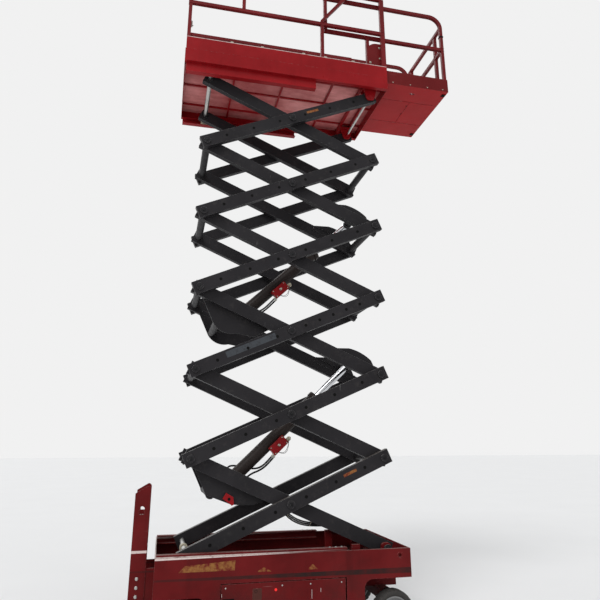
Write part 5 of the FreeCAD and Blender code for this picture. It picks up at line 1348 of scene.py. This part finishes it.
def sun(name, strength, spread, place, target):
    """A soft sun at a place, turned towards a target."""
    light = bpy.data.lights.new(name, "SUN")
    light.energy = strength
    light.angle = spread
    made = bpy.data.objects.new(name, light)
    bpy.context.collection.objects.link(made)
    made.location = place
    made.rotation_mode = "QUATERNION"
    made.rotation_quaternion = (Vector(target) - Vector(place)).to_track_quat("-Z", "Y")


def pale(tree, shade, white):
    """A shader that looks white to the camera, in gloss and through glass, and else lights as given."""
    nodes, links = tree.nodes, tree.links
    rays = nodes.new("ShaderNodeLightPath")
    seen = rays.outputs["Is Camera Ray"]
    for kind in ("Is Glossy Ray", "Is Transmission Ray"):
        either = nodes.new("ShaderNodeMath")
        either.operation = "MAXIMUM"
        links.new(seen, either.inputs[0])
        links.new(rays.outputs[kind], either.inputs[1])
        seen = either.outputs[0]
    glow = nodes.new("ShaderNodeBackground")
    glow.inputs["Strength"].default_value = white
    glow.inputs["Color"].default_value = (1.0, 1.0, 1.0, 1.0)
    blend = nodes.new("ShaderNodeMixShader")
    links.new(seen, blend.inputs[0])
    links.new(shade, blend.inputs[1])
    links.new(glow.outputs[0], blend.inputs[2])
    return blend.outputs[0]


class LIFT_OT_studio(Operator):
    """Makes the floor, the lamps, the soft sky and the camera"""
    bl_idname = "lift.studio"
    bl_label = "Studio"

    def execute(self, context):
        scene = context.scene
        s = scene.lift_studio
        scene.view_settings.view_transform = "Standard"
        mesh = bpy.data.meshes.new("Studio_Floor")
        mesh.from_pydata(square_path((0.0, 0.0, 0.0), FLOOR_HALF).tolist(), [], [(0, 1, 2, 3)])
        floor = bpy.data.objects.new("Studio_Floor", mesh)
        context.collection.objects.link(floor)
        ground = Sheet("Studio_Floor")
        faded = ground.clouds(0.7, 5.0, 0.55, 0.3, 0.7)
        ground.set("Base Color", ground.mix(faded, shaded(s.floor, 0.98), s.floor))
        ground.set("Roughness", 0.8)
        ground.set("Specular IOR Level", 0.1)
        mesh.materials.append(ground.material)
        world = bpy.data.worlds.new("Studio_Sky")
        scene.world = world
        world.use_nodes = True
        tree = world.node_tree
        tree.nodes.clear()
        soft = tree.nodes.new("ShaderNodeBackground")
        soft.inputs["Color"].default_value = (0.97, 0.985, 1.0, 1.0)
        soft.inputs["Strength"].default_value = s.sky
        out = tree.nodes.new("ShaderNodeOutputWorld")
        tree.links.new(pale(tree, soft.outputs[0], 0.88), out.inputs["Surface"])
        middle = (0.0, 0.0, 3.0)
        sun("Key_Sun", s.key, math.radians(28), (-5.0, -6.5, 12.0), middle)
        sun("Back_Sun", s.back, math.radians(35), (-3.0, 8.0, 9.0), middle)
        data = bpy.data.cameras.new("Camera")
        data.lens = s.lens
        data.sensor_width = 36.0
        data.shift_y = s.shift
        data.clip_end = 200.0
        camera = bpy.data.objects.new("Camera", data)
        context.collection.objects.link(camera)
        camera.location = s.eye
        camera.rotation_euler = (math.pi / 2 + s.pitch, 0.0, -s.yaw)
        scene.camera = camera
        return {"FINISHED"}


class LIFT_PT_panel(Panel):
    """Lists the lift's operators and sizes"""
    bl_idname = "LIFT_PT_panel"
    bl_label = "Scissor lift"
    bl_space_type = "VIEW_3D"
    bl_region_type = "UI"
    bl_category = "Lift"

    def draw(self, context):
        for operator in OPERATORS:
            self.layout.operator(operator.bl_idname)
        for name in GROUPS:
            group = getattr(context.scene, name)
            for prop in group.bl_rna.properties:
                if not prop.is_readonly and prop.identifier != "name":
                    self.layout.prop(group, prop.identifier)


GROUPS = {"lift_paint": LiftPaint, "lift_sizes": LiftSizes, "lift_studio": LiftStudio}
OPERATORS = (LIFT_OT_finishes, LIFT_OT_studio, LIFT_OT_wheels, LIFT_OT_arm_fittings, LIFT_OT_arm_marks,
             LIFT_OT_cylinder_fittings, LIFT_OT_frame_hoses, LIFT_OT_chassis_fittings,
             LIFT_OT_ladder_fittings, LIFT_OT_decks, LIFT_OT_rail_welds, LIFT_OT_platform_fittings,
             LIFT_OT_tray_loads)
CLASSES = (*GROUPS.values(), *OPERATORS, LIFT_PT_panel)


def register():
    for cls in CLASSES:
        bpy.utils.register_class(cls)
    for name, cls in GROUPS.items():
        setattr(bpy.types.Scene, name, PointerProperty(type=cls))


def unregister():
    for name in GROUPS:
        delattr(bpy.types.Scene, name)
    for cls in reversed(CLASSES):
        bpy.utils.unregister_class(cls)


def main():
    """Dress the lift, piece by piece."""
    register()
    bpy.ops.lift.finishes()
    bpy.ops.lift.studio()
    bpy.ops.lift.wheels()
    bpy.ops.lift.arm_fittings()
    bpy.ops.lift.arm_marks()
    bpy.ops.lift.cylinder_fittings()
    bpy.ops.lift.frame_hoses()
    bpy.ops.lift.chassis_fittings()
    bpy.ops.lift.ladder_fittings()
    bpy.ops.lift.decks()
    bpy.ops.lift.rail_welds()
    bpy.ops.lift.platform_fittings()
    bpy.ops.lift.tray_loads()


if __name__ == "__main__":
    main()
